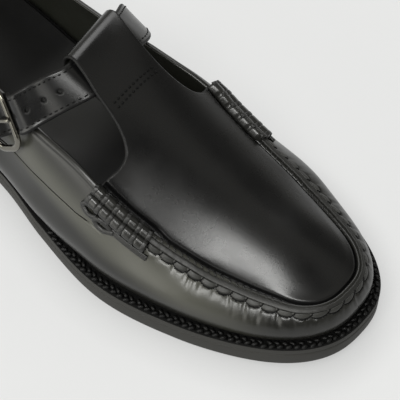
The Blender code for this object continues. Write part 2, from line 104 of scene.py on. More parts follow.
# Section of the flat band: share of its breadth, share of its height.
BAND_SECTION = np.array([
    (0.0, -0.8), (-0.02, 0.5), (0.03, 0.78), (0.12, 0.94), (0.3, 1.0), (0.8, 0.98), (0.93, 0.94),
    (0.99, 0.8), (1.0, 0.5), (1.0, -0.5),
])
# Bound roll: distance below the guide line, half breadth and height of its two lobes, and their roundness.
ROLL_LOBES = ((0.7, 2.3, 3.0), (4.9, 2.6, 3.1))
ROLL_ROUND = 2.8
# Loops of the roll's knot: length along the roll, distance below the guide line, height.
ROLL_LOOPS = (
    [(3.0, 7.0, 0.9), (-0.4, 7.8, 0.8), (-1.2, 9.2, 0.7), (0.6, 10.4, 0.8), (3.6, 10.0, 1.1),
     (6.0, 8.6, 0.8)],
    [(12.5, 8.8, 0.7), (9.6, 8.2, 1.1), (6.2, 8.8, 1.3), (5.0, 10.2, 0.9), (6.6, 11.4, 0.8),
     (9.6, 11.2, 0.8), (12.0, 9.8, 0.8), (14.0, 8.9, 0.7)],
)
# Stitches along the strap and across the tab: pitch, length, and where their rows are.
STRAP_STITCH_PITCH = 2.3
STRAP_STITCH_LONG = 1.5
STRAP_STITCH_IN = 2.0
TAB_STITCH_PITCH = 2.1
TAB_STITCH_LONG = 1.35
TAB_STITCH_ROWS = (159.3, 161.2)
# Braid on the welt: height, pitch and length of its stitches; each row's inset, slant and start.
BRAID_HEIGHT = SOLE_EDGE - 0.05
WELT_STITCH_PITCH = 3.1
WELT_STITCH_LONG = 2.7
WELT_STITCH_ROWS = ((1.5, 0.75, 0.0), (3.0, -0.75, 1.5))

# Photo's camera: azimuth, elevation, distance, focal length in pixels of a 400 pixel frame, aim.
VIEW_AZIMUTH = 40.67
VIEW_ELEVATION = 54.64
VIEW_DISTANCE = 545.0
VIEW_FOCAL = 1351.4
FRAME_PIXELS = 400
VIEW_AIM = (180.16, 12.98, 0.0)

# Sole outline: station from the heel back, half breadth on the lateral and medial side.
OUTLINE = np.array([
    (0, 33.0, 32.0),
    (45, 34.1, 32.2),
    (95, 34.4, 32.0),
    (120, 36.6, 32.8),
    (145, 42.3, 37.6),
    (180, 47.7, 44.0),
    (215, 43.7, 44.0),
    (245, 40.5, 41.4),
    (268, 39.7, 37.5),
])
# Underside of the outsole: station, height above the ground.
TREAD = np.array([
    (0, 19.5), (50, 19.0), (75, 15.5), (100, 9.0), (130, 2.5),
    (158, 0.0), (200, 0.0), (235, 1.3), (268, 5.3),
])
# Sole edge showing outside the upper: station, lateral and medial margin.
MARGIN = np.array([
    (0, 1.6, 1.6), (60, 1.2, 1.2), (110, 0.5, 0.5), (150, 2.4, 2.4), (172, 4.6, 3.4), (195, 5.0, 3.2),
    (218, 4.4, 3.0), (245, 3.9, 3.4), (268, 4.3, 4.5),
])
# Topline behind the throat and moccasin seam ahead of it:
# station, inset from the outline on the lateral and medial side, height.
GUIDE = np.array([
    (0, 4.5, 4.5, 79.0),
    (30, 5.5, 5.5, 72.0),
    (65, 6.5, 6.5, 62.0),
    (100, 7.0, 7.0, 56.5),
    (130, 8.5, 8.5, 55.0),
    (145, 10.5, 10.5, 54.0),
    (157, 12.5, 12.5, 52.3),
    (169, 14.0, 14.0, 48.8),
    (182, 15.5, 15.2, 43.5),
    (196, 16.0, 15.4, 38.0),
    (212, 15.8, 14.8, 32.4),
    (228, 15.2, 13.8, 28.4),
    (245, 13.0, 11.6, 27.0),
    (258, 10.2, 9.6, 27.2),
    (268, 9.0, 9.0, 27.8),
])
# Top of the foot: station, height, roundness of the section, sideways place of the crest.
CREST = np.array([
    (20, 96.0, 3.5, 0.0),
    (60, 95.0, 3.4, -0.2),
    (100, 92.0, 3.2, -0.3),
    (125, 87.5, 3.1, 0.0),
    (141, 81.0, 3.0, 0.0),
    (160, 69.0, 2.5, -0.2),
    (176, 59.5, 2.3, 0.4),
    (195, 50.5, 2.2, 1.2),
    (212, 44.0, 2.1, 2.0),
    (232, 38.5, 2.1, 3.0),
    (248, 34.2, 2.1, 3.0),
    (262, 29.5, 2.1, 3.0),
])
# Edges of the plug and its tab seen from above, from far behind the fold to the throat and out over the wall.
EDGE_LATERAL = np.array([
    (90.0, -11.9), (120.0, -11.9), (138.0, -11.9), (144.1, -12.3), (148.8, -12.9), (154.4, -14.0),
    (158.4, -14.4), (162.6, -15.0), (167.3, -16.2), (171.4, -18.4), (173.2, -20.4), (173.9, -24.0),
    (173.0, -28.5), (170.6, -32.9), (168.4, -38.0), (166.0, -60.0),
])
EDGE_MEDIAL = np.array([
    (90.0, 16.3), (120.0, 16.3), (131.0, 16.4), (137.2, 16.3), (143.8, 14.9), (150.1, 14.5), (158.0, 14.9),
    (163.5, 15.8), (168.1, 17.4), (171.4, 19.6), (172.4, 22.4), (171.6, 26.0), (169.6, 30.0), (167.6, 38.0),
    (165.0, 60.0),
])
# Medial end of the strap, middle of its thickness:
# front edge x, y, z and rear edge x, y, z.
STRAP_MEDIAL = np.array([
    (127.0, 33.6, 38.0, 116.4, 33.2, 47.8),
    (133.6, 33.0, 47.2, 122.4, 32.0, 56.8),
    (140.2, 29.2, 56.8, 127.6, 27.0, 66.0),
    (146.6, 22.8, 63.4, 132.5, 19.4, 71.4),
])
# Strap under the tab, front and rear edge: station at the middle, skew, depth below the tab's face.
STRAP_LOOP = ((153.3, 0.115, 2.9), (138.8, 0.225, 4.1))
# Outward bow of the strap between tab and buckle, for both edges.
STRAP_BOW = np.array((0.3, -0.6, 0.8, 0.3, -0.6, 0.8)) * 1.2
# Strap through the buckle: distance from the hinge bar toward the instep, height off the frame.
STRAP_BUCKLE = np.array([
    (19.0, -2.7), (15.5, -2.7), (11.5, -0.8), (8.0, 2.2), (4.0, 4.1), (0.0, 4.5), (-5.0, 2.9),
    (-10.0, 0.6), (-15.0, -1.2), (-21.0, -2.2),
])
# Lateral frame of the buckle: middle of the front bar, way along the strap, way along the bar.
BUCKLE_FRONT = np.array((129.8, -35.6, 57.3))
BUCKLE_WAY = np.array((-0.800, -0.075, -0.600))
BUCKLE_UP = np.array((-0.620, 0.200, 0.750))
# Lower edge of the quarter where it laps over the vamp: station, distance below the topline.
LAP = np.array([
    (0, 60.0), (70, 60.0), (84, 44.0), (96, 30.0), (112, 20.5), (130, 17.9), (151, 18.0), (163, 17.0),
    (173, 14.4), (200, 12.0), (268, 9.0),
])
# Gathers below the seam, lateral roll to medial roll: share of the seam, depth, length.
GATHERS = np.array([
    (0.00, 0.15, 4.0), (0.10, 0.32, 6.0), (0.22, 0.42, 9.0), (0.36, 0.50, 11.0), (0.48, 0.42, 9.0),
    (0.60, 0.30, 7.0), (0.75, 0.34, 8.0), (0.90, 0.30, 6.0), (1.00, 0.15, 4.0),
])


def hermite(t, first, last, start, end):
    """Cubic from first to last whose slopes over the whole span are start and end."""
    near = (1 + 2 * t) * (1 - t) ** 2 * first + t * (1 - t) ** 2 * start
    far = t * t * (3 - 2 * t) * last + t * t * (t - 1) * end
    return near + far


def column(table, index):
    """Smooth curve through one column of a table, with no overshoot."""
    xs = table[:, 0]
    ys = table[:, index]
    step = np.diff(xs)
    rise = np.diff(ys) / step
    slope = np.zeros(len(xs))
    for i in range(1, len(xs) - 1):
        if rise[i - 1] * rise[i] > 0:
            w1 = 2 * step[i] + step[i - 1]
            w2 = step[i] + 2 * step[i - 1]
            slope[i] = (w1 + w2) / (w1 / rise[i - 1] + w2 / rise[i])
    slope[0] = rise[0]
    slope[-1] = rise[-1]

    def value(x):
        q = np.clip(np.asarray(x, float), xs[0], xs[-1])
        i = np.clip(np.searchsorted(xs, q) - 1, 0, len(step) - 1)
        t = (q - xs[i]) / step[i]
        return hermite(t, ys[i], ys[i + 1], step[i] * slope[i], step[i] * slope[i + 1])

    return value


breadth_lateral = column(OUTLINE, 1)
breadth_medial = column(OUTLINE, 2)
tread_z = column(TREAD, 1)
margin_lateral = column(MARGIN, 1)
margin_medial = column(MARGIN, 2)
guide_lateral = column(GUIDE, 1)
guide_medial = column(GUIDE, 2)
guide_z = column(GUIDE, 3)
crest_z = column(CREST, 1)
crest_power = column(CREST, 2)
crest_y = column(CREST, 3)
lap_line = column(LAP, 1)


def unit(v):
    return v / (np.linalg.norm(v, axis=-1)[..., None] + 1e-12)


def paired(a, b):
    """Two arrays of numbers brought to one shape."""
    return np.broadcast_arrays(np.asarray(a, float), np.asarray(b, float))


def run_along(points):
    """Length from the first point of a line to each of its points."""
    return np.concatenate([[0.0], np.cumsum(np.linalg.norm(np.diff(points, axis=0), axis=1))])


def smooth(t):
    t = np.clip(t, 0, 1)
    return t * t * (3 - 2 * t)


def by_side(angle, lateral, medial, x):
    return np.where(np.sin(angle) >= 0, lateral(x), medial(x))


def outline(angle):
    """Sole outline: 0 at the heel back, pi at the toe, lateral side first."""
    angle = np.asarray(angle, float)
    x = LENGTH / 2 * (1 - np.cos(angle))
    back = np.clip((HEEL_CAP - x) / HEEL_CAP, 0, 1)
    toe = np.clip((x - (LENGTH - TOE_CAP)) / TOE_CAP, 0, 1)
    cap = (1 - back ** HEEL_POWER) ** (1 / HEEL_POWER) * (1 - toe ** TOE_POWER) ** (1 / TOE_POWER)
    side = np.where(np.sin(angle) >= 0, -1.0, 1.0)
    y = side * by_side(angle, breadth_lateral, breadth_medial, x) * cap + TOE_TURN * toe ** 2
    return np.stack([x, y], -1)


def inset(angle, distance):
    """Outline moved inward."""
    run = unit(outline(angle + 0.001) - outline(angle - 0.001))
    inward = np.stack([-run[..., 1], run[..., 0]], -1)
    return outline(angle) + inward * np.asarray(distance)[..., None]


def margin(angle):
    return by_side(angle, margin_lateral, margin_medial, outline(angle)[..., 0])


def guide(angle):
    x = outline(angle)[..., 0]
    xy = inset(angle, by_side(angle, guide_lateral, guide_medial, x))
    return np.concatenate([xy, guide_z(x)[..., None]], -1)


def crest_x(angle):
    x = outline(angle)[..., 0]
    u = x / LENGTH
    return x + RIDGE_BACK * (1 - u) ** 3 - (LENGTH - RIDGE_FRONT) * u ** 3


def side_wall(angle, p):
    """Upper from the sole (p 0) to the guide line (p 1)."""
    foot = inset(angle, margin(angle))
    top = guide(angle)
    rise = WALL_ROUND * (1 - (1 - p) ** WALL_POWER) ** (1 / WALL_POWER) + (1 - WALL_ROUND) * p
    out = unit(foot - top[..., :2])
    xy = foot + (top[..., :2] - foot) * p[..., None] + out * (WALL_BULGE * np.sin(np.pi * rise))[..., None]
    low = tread_z(foot[..., 0]) + SOLE_EDGE + FIT_GAP
    return np.concatenate([xy, (low + (top[..., 2] - low) * rise)[..., None]], -1)


def dome(angle, q):
    """Upper from the guide line (q 0) to the crest (q 1)."""
    start = guide(angle)
    x = crest_x(angle)
    end = np.stack([x, crest_y(x)], -1)
    xy = start[..., :2] + (end - start[..., :2]) * q[..., None]
    rise = 1 - (1 - q) ** crest_power(x)
    z = start[..., 2] + (crest_z(xy[..., 0]) - start[..., 2]) * rise
    return np.concatenate([xy, z[..., None]], -1)


def surface(angle, s):
    """Whole outside of the upper: s 0 to 1 is the side wall, 1 to 2 the dome."""
    angle, s = paired(angle, s)
    low = side_wall(angle, np.clip(s, 0, 1))
    high = dome(angle, np.clip(s - 1, 0, 1))
    return np.where((s <= 1)[..., None], low, high)


def normal(angle, s):
    """Outward direction of the upper's surface."""
    angle, s = paired(angle, s)
    s = np.clip(s, 0.02, 1.98)
    du = surface(angle + 0.004, s) - surface(angle - 0.004, s)
    dv = surface(angle, s + 0.012) - surface(angle, s - 0.012)
    return unit(np.cross(du, dv))


def dome_height(x, y):
    """Height of the dome over a place seen from above."""
    x, y = paired(x, y)
    low = np.full(x.shape, 0.6)
    high = np.full(x.shape, np.pi)
    medial = y > crest_y(x)
    for _ in range(40):
        mid = (low + high) / 2
        angle = np.where(medial, 2 * np.pi - mid, mid)
        start = guide(angle)
        cx = crest_x(angle)
        cy = crest_y(cx)
        q = np.clip((y - start[..., 1]) / (cy - start[..., 1]), 0, 1)
        ahead = start[..., 0] + (cx - start[..., 0]) * q > x
        high = np.where(ahead, mid, high)
        low = np.where(ahead, low, mid)
    return surface(angle, 1 + q)[..., 2]


def wall_y(x, z, side):
    """Outside of the side wall at a station and height; side -1 is lateral."""
    x, z = paired(x, z)
    angle = station_angle(x, side)
    low = np.zeros(x.shape)
    high = np.ones(x.shape)
    for _ in range(30):
        mid = (low + high) / 2
        above = side_wall(angle, mid)[..., 2] > z
        high = np.where(above, mid, high)
        low = np.where(above, low, mid)
    return side_wall(angle, mid)[..., 1]


def through(rows, per):
    """Smooth run through rows of numbers."""
    rows = np.array(rows, float)
    far = run_along(rows)
    slope = np.gradient(rows, far, axis=0)
    t = (np.arange(per) / per)[:, None]
    out = []
    for i in range(len(rows) - 1):
        span = far[i + 1] - far[i]
        out.append(hermite(t, rows[i], rows[i + 1], span * slope[i], span * slope[i + 1]))
    return np.concatenate(out + [rows[-1:]])


def station_angle(x, side=-1):
    angle = np.arccos(np.clip(1 - 2 * np.asarray(x, float) / LENGTH, -1, 1))
    return angle if side < 0 else 2 * np.pi - angle


def beside_seam(angle, down):
    """Points and outward directions at distances below the guide line; negative is up on the dome."""
    fine = np.concatenate([np.linspace(0, 1, 161), 1 + np.linspace(0, 0.6, 61)[1:]])
    line = surface(angle[:, None], fine[None])
    far = np.cumsum(np.linalg.norm(np.diff(line, axis=1), axis=2), axis=1)
    far = np.concatenate([np.zeros((len(angle), 1)), far], 1)
    far = far[:, 160:161] - far
    s = np.array([np.interp(-d, -f, fine) for d, f in zip(down, far)])
    return surface(angle[:, None], s), normal(angle[:, None], s)


def wall_length(angle):
    line = surface(angle[:, None], np.linspace(0, 1, 121)[None])
    return np.linalg.norm(np.diff(line, axis=1), axis=2).sum(1)


outline_y = outline(np.linspace(0, 2 * np.pi, 2001))[:, 1]
ORIGIN = np.array((LENGTH / 2, (outline_y.min() + outline_y.max()) / 2, 0.0))


def grid_faces(rows, columns, ring_rows=False, ring_columns=False):
    r = np.arange(rows if ring_rows else rows - 1)
    c = np.arange(columns if ring_columns else columns - 1)
    r, c = np.meshgrid(r, c, indexing="ij")
    r2 = (r + 1) % rows
    c2 = (c + 1) % columns
    corners = [r * columns + c, r * columns + c2, r2 * columns + c2, r2 * columns + c]
    return np.stack(corners, -1).reshape(-1, 4)


def piece(name, verts, faces, looks, slot, nodes=(), index=None, sharp=None):
    """Closed mesh that rides on the shoe and stands for the named solids."""
    mesh = bpy.data.meshes.new(name)
    placed = ((np.asarray(verts) - ORIGIN) * MM).tolist()
    mesh.from_pydata(placed, [], [tuple(int(i) for i in f) for f in faces])
    for look in looks:
        mesh.materials.append(look)
    if index is not None:
        mesh.polygons.foreach_set("material_index", np.asarray(index, np.int32))
    bm = bmesh.new()
    bm.from_mesh(mesh)
    bmesh.ops.remove_doubles(bm, verts=bm.verts, dist=WELD * MM)
    bmesh.ops.recalc_face_normals(bm, faces=bm.faces)
    bm.to_mesh(mesh)
    bm.free()
    mesh.shade_smooth()
    if sharp is not None:
        mesh.set_sharp_from_angle(angle=math.radians(sharp))
    obj = bpy.data.objects.new(name, mesh)
    bpy.context.scene.collection.objects.link(obj)
    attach(obj, "root")
    if nodes:
        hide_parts(*nodes)
    return obj


def swept(sections, closed=False):
    """Skin over equal rings of points, with its ends filled."""
    rows, columns = sections.shape[:2]
    faces = [tuple(f) for f in grid_faces(rows, columns, closed, True)]
    if not closed:
        faces.append(tuple(range(columns)))
        faces.append(tuple(range((rows - 1) * columns, rows * columns)))
    return sections.reshape(-1, 3), faces


def tube(points, radius, up, sides=10, flat=1.0, closed=False, blunt=0.0):
    """Round cord along points; up is outward at each point, flat squeezes it toward the surface."""
    points = np.asarray(points, float)
    if closed:
        run = unit(np.roll(points, -1, 0) - np.roll(points, 1, 0))
    else:
        run = unit(np.gradient(points, axis=0))
    side = unit(np.cross(run, up))
    lift = unit(np.cross(side, run))
    radius = np.broadcast_to(np.asarray(radius, float), (len(points),)).copy()
    if blunt:
        gone = run_along(points)
        end = np.minimum(gone, gone[-1] - gone)
        radius *= np.sqrt(np.clip(1 - (1 - np.clip(end / blunt, 0, 1)) ** 2, 0.004, 1))
    turn = np.linspace(0, 2 * np.pi, sides + 1)[:-1]
    ring = side[:, None] * np.cos(turn)[None, :, None] + lift[:, None] * np.sin(turn)[None, :, None] * flat
    return swept(points[:, None] + ring * radius[:, None, None], closed)


def joined(parts):
    """Several skins as one."""
    verts = []
    faces = []
    start = 0
    for v, f in parts:
        verts.append(v)
        faces += [tuple(i + start for i in face) for face in f]
        start += len(v)
    return np.concatenate(verts), faces


def stitches(first, last, up, radius, arch, sides=8, rows=7):
    """Short threads from first to last points, bowed outward."""
    t = np.linspace(0, 1, rows)
    line = first[:, None] + (last - first)[:, None] * t[None, :, None]
    line = line + up[:, None] * (arch * (1 - (2 * t - 1) ** 2))[None, :, None]
    run = unit(last - first)
    side = unit(np.cross(run, up))
    thick = radius * np.sqrt(np.clip(1 - np.abs(2 * t - 1) ** 3, 0.01, 1))
    turn = np.linspace(0, 2 * np.pi, sides + 1)[:-1]
    ring = side[:, None] * np.cos(turn)[None, :, None] + up[:, None] * np.sin(turn)[None, :, None]
    rings = [row[:, None] + around[None] * thick[:, None, None] for row, around in zip(line, ring)]
    return joined([swept(sections) for sections in rings])


def sewn(place, first, last, sunk, radius, arch):
    """Stitches between two rows of places on a panel's face, sunk into it at their ends."""
    a, up_a = place(first)
    b, up_b = place(last)
    return stitches(a - up_a * sunk, b - up_b * sunk, unit(up_a + up_b), radius, arch)


def cut_sheet(params, faces, keep):
    """Part of a triangulated sheet where keep is positive, cut along its zero line."""
    value = keep(params)
    value = np.where(np.abs(value) < 0.03, np.where(value < 0, -0.03, 0.03), value)
    inside = value > 0
    count = inside[faces].sum(1)
    kept = [tuple(f) for f in faces[count == 3].tolist()]
    points = list(params)
    made = {}

    def crossing(i, j):
        key = (min(i, j), max(i, j))
        if key not in made:
            made[key] = len(points)
            points.append(params[i] + (params[j] - params[i]) * value[i] / (value[i] - value[j]))
        return made[key]

    for f in faces[(count == 1) | (count == 2)].tolist():
        loop = []
        for i, j in zip(f, f[1:] + f[:1]):
            if inside[i]:
                loop.append(i)
            if inside[i] != inside[j]:
                loop.append(crossing(i, j))
        kept.append(tuple(loop))
    used = sorted({i for f in kept for i in f})
    new = {v: k for k, v in enumerate(used)}
    return np.array(points)[used], [tuple(new[i] for i in f) for f in kept]


def shell(params, faces, place, keep, thick, steps=5):
    """Closed panel: outer face, round rim where it was cut, inner face."""
    outer, out = place(params)
    count = len(params)
    edges = {(i, j) for f in faces for i, j in zip(f, f[1:] + f[:1])}
    border = sorted((i, j) for i, j in edges if (j, i) not in edges)
    rim = sorted({i for e in border for i in e})
    slot = {v: k for k, v in enumerate(rim)}
    p = params[rim]
    step = 0.06
    slope_x = keep(p + (step, 0)) - keep(p - (step, 0))
    slope_y = keep(p + (0, step)) - keep(p - (0, step))
    slope = unit(np.stack([slope_x, slope_y], -1))
    away = place(p - slope * step)[0] - place(p + slope * step)[0]
    away = unit(away - out[rim] * (away * out[rim]).sum(-1)[:, None]) * (np.abs(keep(p)) < 0.3)[:, None]
    core = outer[rim] - out[rim] * thick / 2
    rows = []
    for k in range(1, steps):
        t = math.pi * k / steps
        rows.append(core + (out[rim] * math.cos(t) + away * math.sin(t)) * thick / 2)

    def level(v, k):
        if k == 0:
            return v
        if k == steps:
            return v + count
        return 2 * count + (k - 1) * len(rim) + slot[v]

    skin = list(faces) + [tuple(i + count for i in f[::-1]) for f in faces]
    for i, j in border:
        for k in range(steps):
            skin.append((level(j, k), level(i, k), level(i, k + 1), level(j, k + 1)))
    return np.concatenate([outer, outer - out * thick, *rows]), skin, len(faces)


def triangles(quads):
    return np.concatenate([quads[:, (0, 1, 2)], quads[:, (0, 2, 3)]])


def side_of(points, line):
    """Distance from a directed line seen from above, positive on its left."""
    a = line[:-1]
    b = line[1:]
    ab = b - a
    t = np.einsum("nij,ij->ni", points[:, None] - a[None], ab) / (ab * ab).sum(-1)
    near = a + np.clip(t, 0, 1)[..., None] * ab
    gap = points[:, None] - near
    reach = np.linalg.norm(gap, axis=-1)
    k = reach.argmin(1)
    n = np.arange(len(points))
    cross = ab[k, 0] * gap[n, k, 1] - ab[k, 1] * gap[n, k, 0]
    return np.where(cross >= 0, 1, -1) * reach[n, k]


# Size of the patches in which a material's colour and gloss vary.
PATCH = 14.0


def node(tree, kind, inputs=None, **values):
    """New shader node: an input given as a socket is linked, any other value is set."""
    made = tree.nodes.new(kind)
    for key, value in values.items():
        setattr(made, key, value)
    for key, value in (inputs or {}).items():
        if isinstance(value, bpy.types.NodeSocket):
            tree.links.new(value, made.inputs[key])
        else:
            made.inputs[key].default_value = value
    return made


def finish(name, dark, light, rough, grain=0.9, depth=0.02, metal=0.0, specular=0.5):
    """Procedural material: colour and gloss vary in patches, fine grain stands in the bump. Sizes in mm."""
    mat = bpy.data.materials.new(name)
    mat.use_nodes = True
    tree = mat.node_tree
    shader = tree.nodes["Principled BSDF"].inputs
    where = node(tree, "ShaderNodeTexCoord").outputs["Object"]
    patches = {"Vector": where, "Scale": 1000 / PATCH, "Detail": 4.0, "Roughness": 0.6}
    share = node(tree, "ShaderNodeTexNoise", patches).outputs["Fac"]
    tones = {"Factor": share, 6: (*dark, 1.0), 7: (*light, 1.0)}
    tone = node(tree, "ShaderNodeMix", tones, data_type="RGBA").outputs[2]
    limits = {"Value": share, "From Min": 0.3, "From Max": 0.7, "To Min": rough[0], "To Max": rough[1]}
    gloss = node(tree, "ShaderNodeMapRange", limits).outputs["Result"]
    pores = {"Vector": where, "Scale": 1000 / grain, "Randomness": 1.0}
    pores = node(tree, "ShaderNodeTexVoronoi", pores).outputs["Distance"]
    fine = {"Vector": where, "Scale": 2600 / grain, "Detail": 3.0}
    fine = node(tree, "ShaderNodeTexNoise", fine).outputs["Fac"]
    height = node(tree, "ShaderNodeMath", {0: pores, 1: fine}, operation="ADD").outputs["Value"]
    bump = node(tree, "ShaderNodeBump", {"Height": height, "Strength": 1.0, "Distance": depth * MM})
    tree.links.new(tone, shader["Base Color"])
    tree.links.new(gloss, shader["Roughness"])
    tree.links.new(bump.outputs["Normal"], shader["Normal"])
    shader["Metallic"].default_value = metal
    shader["Specular IOR Level"].default_value = specular
    return mat


def painted_light(mat, colour, *ramps):
    """Painted light: a lighter tone mixed into the base colour where every ramp (way, start and end along it
    in frame metres) has risen.
    """
    tree = mat.node_tree
    tone = tree.nodes["Principled BSDF"].inputs["Base Color"]
    where = node(tree, "ShaderNodeTexCoord").outputs["Object"]
    share = None
    for ahead, start, end in ramps:
        reach = node(tree, "ShaderNodeVectorMath", {0: where, 1: ahead}, operation="DOT_PRODUCT")
        limits = {"Value": reach.outputs["Value"], "From Min": start, "From Max": end}
        risen = node(tree, "ShaderNodeMapRange", limits, interpolation_type="SMOOTHSTEP").outputs["Result"]
        if share is not None:
            risen = node(tree, "ShaderNodeMath", {0: share, 1: risen}, operation="MULTIPLY").outputs["Value"]
        share = risen
    tones = {"Factor": share, 6: tone.links[0].from_socket, 7: (*colour, 1.0)}
    tree.links.new(node(tree, "ShaderNodeMix", tones, data_type="RGBA").outputs[2], tone)


calf = finish(
    "polished_calf", (0.0035, 0.0035, 0.0037), (0.0055, 0.0055, 0.0057), (0.24, 0.31), depth=0.006)
# Wall calf: lighter and warmer than the polished calf, partly the leather's own olive tint and partly painted
# light for the wall's brighter look.
wall_calf = finish(
    "wall_calf", (0.0060, 0.0060, 0.0048), (0.0100, 0.0100, 0.0082), (0.28, 0.36), depth=0.008)
# Painted sheen: a lighter band along the lateral wall, following the topline down and ending before the toe,
# stands in for the wall's brighter reflection.
painted_light(wall_calf, (0.066, 0.066, 0.054),
      ((0.24, 0.0, 1.0), 0.0338, 0.0432), ((-0.24, 0.0, -1.0), -0.0560, -0.0440),
      ((-1.0, 0.0, 0.0), -0.118, -0.076), ((0.0, -1.0, 0.0), 0.0, 0.012))
# The next three are lighter copies of the black calf: painted light for the brighter look of the gathered
# edge, the seam band and the roll's lobes.
gathered = finish("gathered_calf", (0.016, 0.016, 0.014), (0.026, 0.026, 0.023), (0.42, 0.54))
band_calf = finish("seam_band_calf", (0.010, 0.010, 0.009), (0.017, 0.017, 0.015), (0.42, 0.54))
roll_calf = finish("roll_calf", (0.013, 0.013, 0.012), (0.022, 0.022, 0.020), (0.24, 0.32), depth=0.01)
edge_paint = finish(
    "painted_edge", (0.0030, 0.0030, 0.0030), (0.0050, 0.0050, 0.0050), (0.45, 0.6), specular=0.25)
cord_look = finish("waxed_cord", (0.007, 0.007, 0.0065), (0.013, 0.013, 0.012), (0.36, 0.48), grain=0.5)
thread = finish(
    "black_thread", (0.002, 0.002, 0.002), (0.004, 0.004, 0.004), (0.6, 0.75), grain=0.3, specular=0.15)
waxed = finish(
    "waxed_welt_thread", (0.002, 0.002, 0.002), (0.005, 0.005, 0.005), (0.36, 0.52), grain=0.35, depth=0.05,
    specular=0.22)
lining = finish("lining_leather", (0.012, 0.013, 0.009), (0.019, 0.020, 0.014), (0.45, 0.6))
sock = finish(
    "sock_leather", (0.0060, 0.0060, 0.0060), (0.0095, 0.0095, 0.0095), (0.42, 0.52), depth=0.012,
    specular=0.2)
# Painted light on the foot bed: a lighter band across it under the strap, where light falls in through the
# opening.
painted_light(sock, (0.075, 0.075, 0.074), ((-1.0, 0.0, 0.0), -0.012, 0.012), ((1.0, 0.0, 0.0), -0.042, -0.014))
welting = finish(
    "welt_strip", (0.0015, 0.0015, 0.0015), (0.0035, 0.0035, 0.0035), (0.65, 0.8), grain=0.6, depth=0.05,
    specular=0.15)
rubber = finish(
    "sole_rubber", (0.022, 0.022, 0.020), (0.036, 0.035, 0.032), (0.6, 0.72), grain=0.5, specular=0.3)
metal = finish(
    "buckle_metal", (0.15, 0.145, 0.125), (0.22, 0.21, 0.185), (0.17, 0.26), grain=0.4, depth=0.004,
    metal=1.0)

# Seam: length along it from the lateral roll to the medial roll.
SEAM_FIRST = station_angle(ROLL_FRONT)
seam_turn = np.linspace(SEAM_FIRST, 2 * np.pi - SEAM_FIRST, 1201)
seam_run = run_along(guide(seam_turn))
SEAM_LENGTH = seam_run[-1]
stitch_count = int(SEAM_LENGTH / STITCH_PITCH)
stitch_run = np.arange(stitch_count + 1) * SEAM_LENGTH / stitch_count


def seam_angle(length):
    return np.interp(length, seam_run, seam_turn)


def narrow(length):
    """Breadth of the seam, which is least at the toe."""
    return 1 - 0.28 * np.exp(-((length - SEAM_LENGTH / 2) / 34) ** 2)


def scallop_foot(length):
    """Swell of the gathered edge along the seam and its lower limit below the guide line."""
    phase = (length / SEAM_LENGTH * stitch_count) % 1.0
    swell = np.sin(np.pi * phase ** 0.85) ** 0.6
    return swell, narrow(length) * (EDGE_TOP + (EDGE_FOOT - EDGE_TOP) * (0.40 + 0.60 * swell))


def wall_turns():
    """Angles round the shoe, closer together ahead of the rolls."""
    even = np.linspace(0, 2 * np.pi, 4001)
    line = outline(even)
    step = np.linalg.norm(np.diff(line, axis=0), axis=1)
    fine = np.where(line[1:, 0] > FINE_FROM, 0.44, 1.25)
    run = np.concatenate([[0.0], np.cumsum(step / fine)])
    return np.interp(np.linspace(0, run[-1], int(run[-1]) + 1)[:-1], run, even)


def wall_levels(lap, total):
    """Distances below the guide line, close together at the gathers and at the panel seam."""
    top = np.linspace(0, GATHER_ZONE, 30)
    beside_lap = np.array((-0.48, -0.34, -0.18, 0.18, 0.34, 0.48))
    return np.concatenate([
        np.broadcast_to(top, (len(lap), len(top))),
        GATHER_ZONE + (lap - 0.70 - GATHER_ZONE)[:, None] * np.linspace(0, 1, 15)[1:],
        lap[:, None] + beside_lap[None],
        (lap + 0.7)[:, None] + (total - lap - 0.7)[:, None] * np.linspace(0, 1, 26),
    ], 1)


def gather_rise(down, at):
    """Rise below the seam: a trough at each stitch, finer ones between them, a groove at the scallops."""
    depth_at = column(GATHERS, 1)
    length_at = column(GATHERS, 2)
    folds = np.zeros(down.shape)
    here = at[:, None]
    below = down - EDGE_FOOT * narrow(here) + 0.6
    begun = smooth((below + 0.8) / 1.6)
    for k, centre in enumerate(np.repeat(stitch_run, GATHERS_PER_STITCH)):
        main = k % GATHERS_PER_STITCH == 0
        spot = centre + (draw.uniform(-0.3, 0.3) if main else draw.uniform(0.5, STITCH_PITCH - 0.5))
        share = np.clip(spot / SEAM_LENGTH, 0, 1)
        deep = 0.8 * depth_at(share) * (draw.uniform(0.6, 1.0) if main else draw.uniform(0.2, 0.6))
        reach = length_at(share) * (draw.uniform(0.6, 1.0) if main else draw.uniform(0.5, 1.2))
        wide = draw.uniform(0.65, 1.0) if main else draw.uniform(0.5, 0.8)
        lean = draw.uniform(-0.25, 0.25)
        spread = wide * (1 + 0.07 * np.clip(below, 0, None))
        trough = np.exp(-((here - spot - lean * below) / spread) ** 2)
        fade = begun * (1 - smooth((below - 0.1 * reach) / (0.9 * reach)))
        folds -= deep * trough * fade
    groove = 0.25 * np.exp(-((down - scallop_foot(at)[1][:, None] - 0.1) / 0.6) ** 2)
    return folds + 0.08 * (1 - smooth(below / 9.0)) * begun - groove


def wall_rise(x, down, lap, total, behind, lapped):
    """Rise of the wall: groove of the panel seam, rolled topline, bulge and turn-in at the welt."""
    rise = -0.5 * lapped[:, None] * np.exp(-((down - lap[:, None]) / 0.4) ** 4)
    roll = 0.2 * np.exp(-((down - 0.8) / 0.8) ** 2)
    below_roll = 0.14 * np.exp(-((down - 2.2) / 0.5) ** 2)
    rise += behind[:, None] * (roll - below_roll)
    foot = total[:, None] - down
    bulge = 0.4 + 1.6 * (1 - smooth((x - 205) / 30))
    rise += bulge[:, None] * np.exp(-((foot - 10.0) / 7.5) ** 2) - 0.5 * np.exp(-(foot / 1.2) ** 2)
    return rise


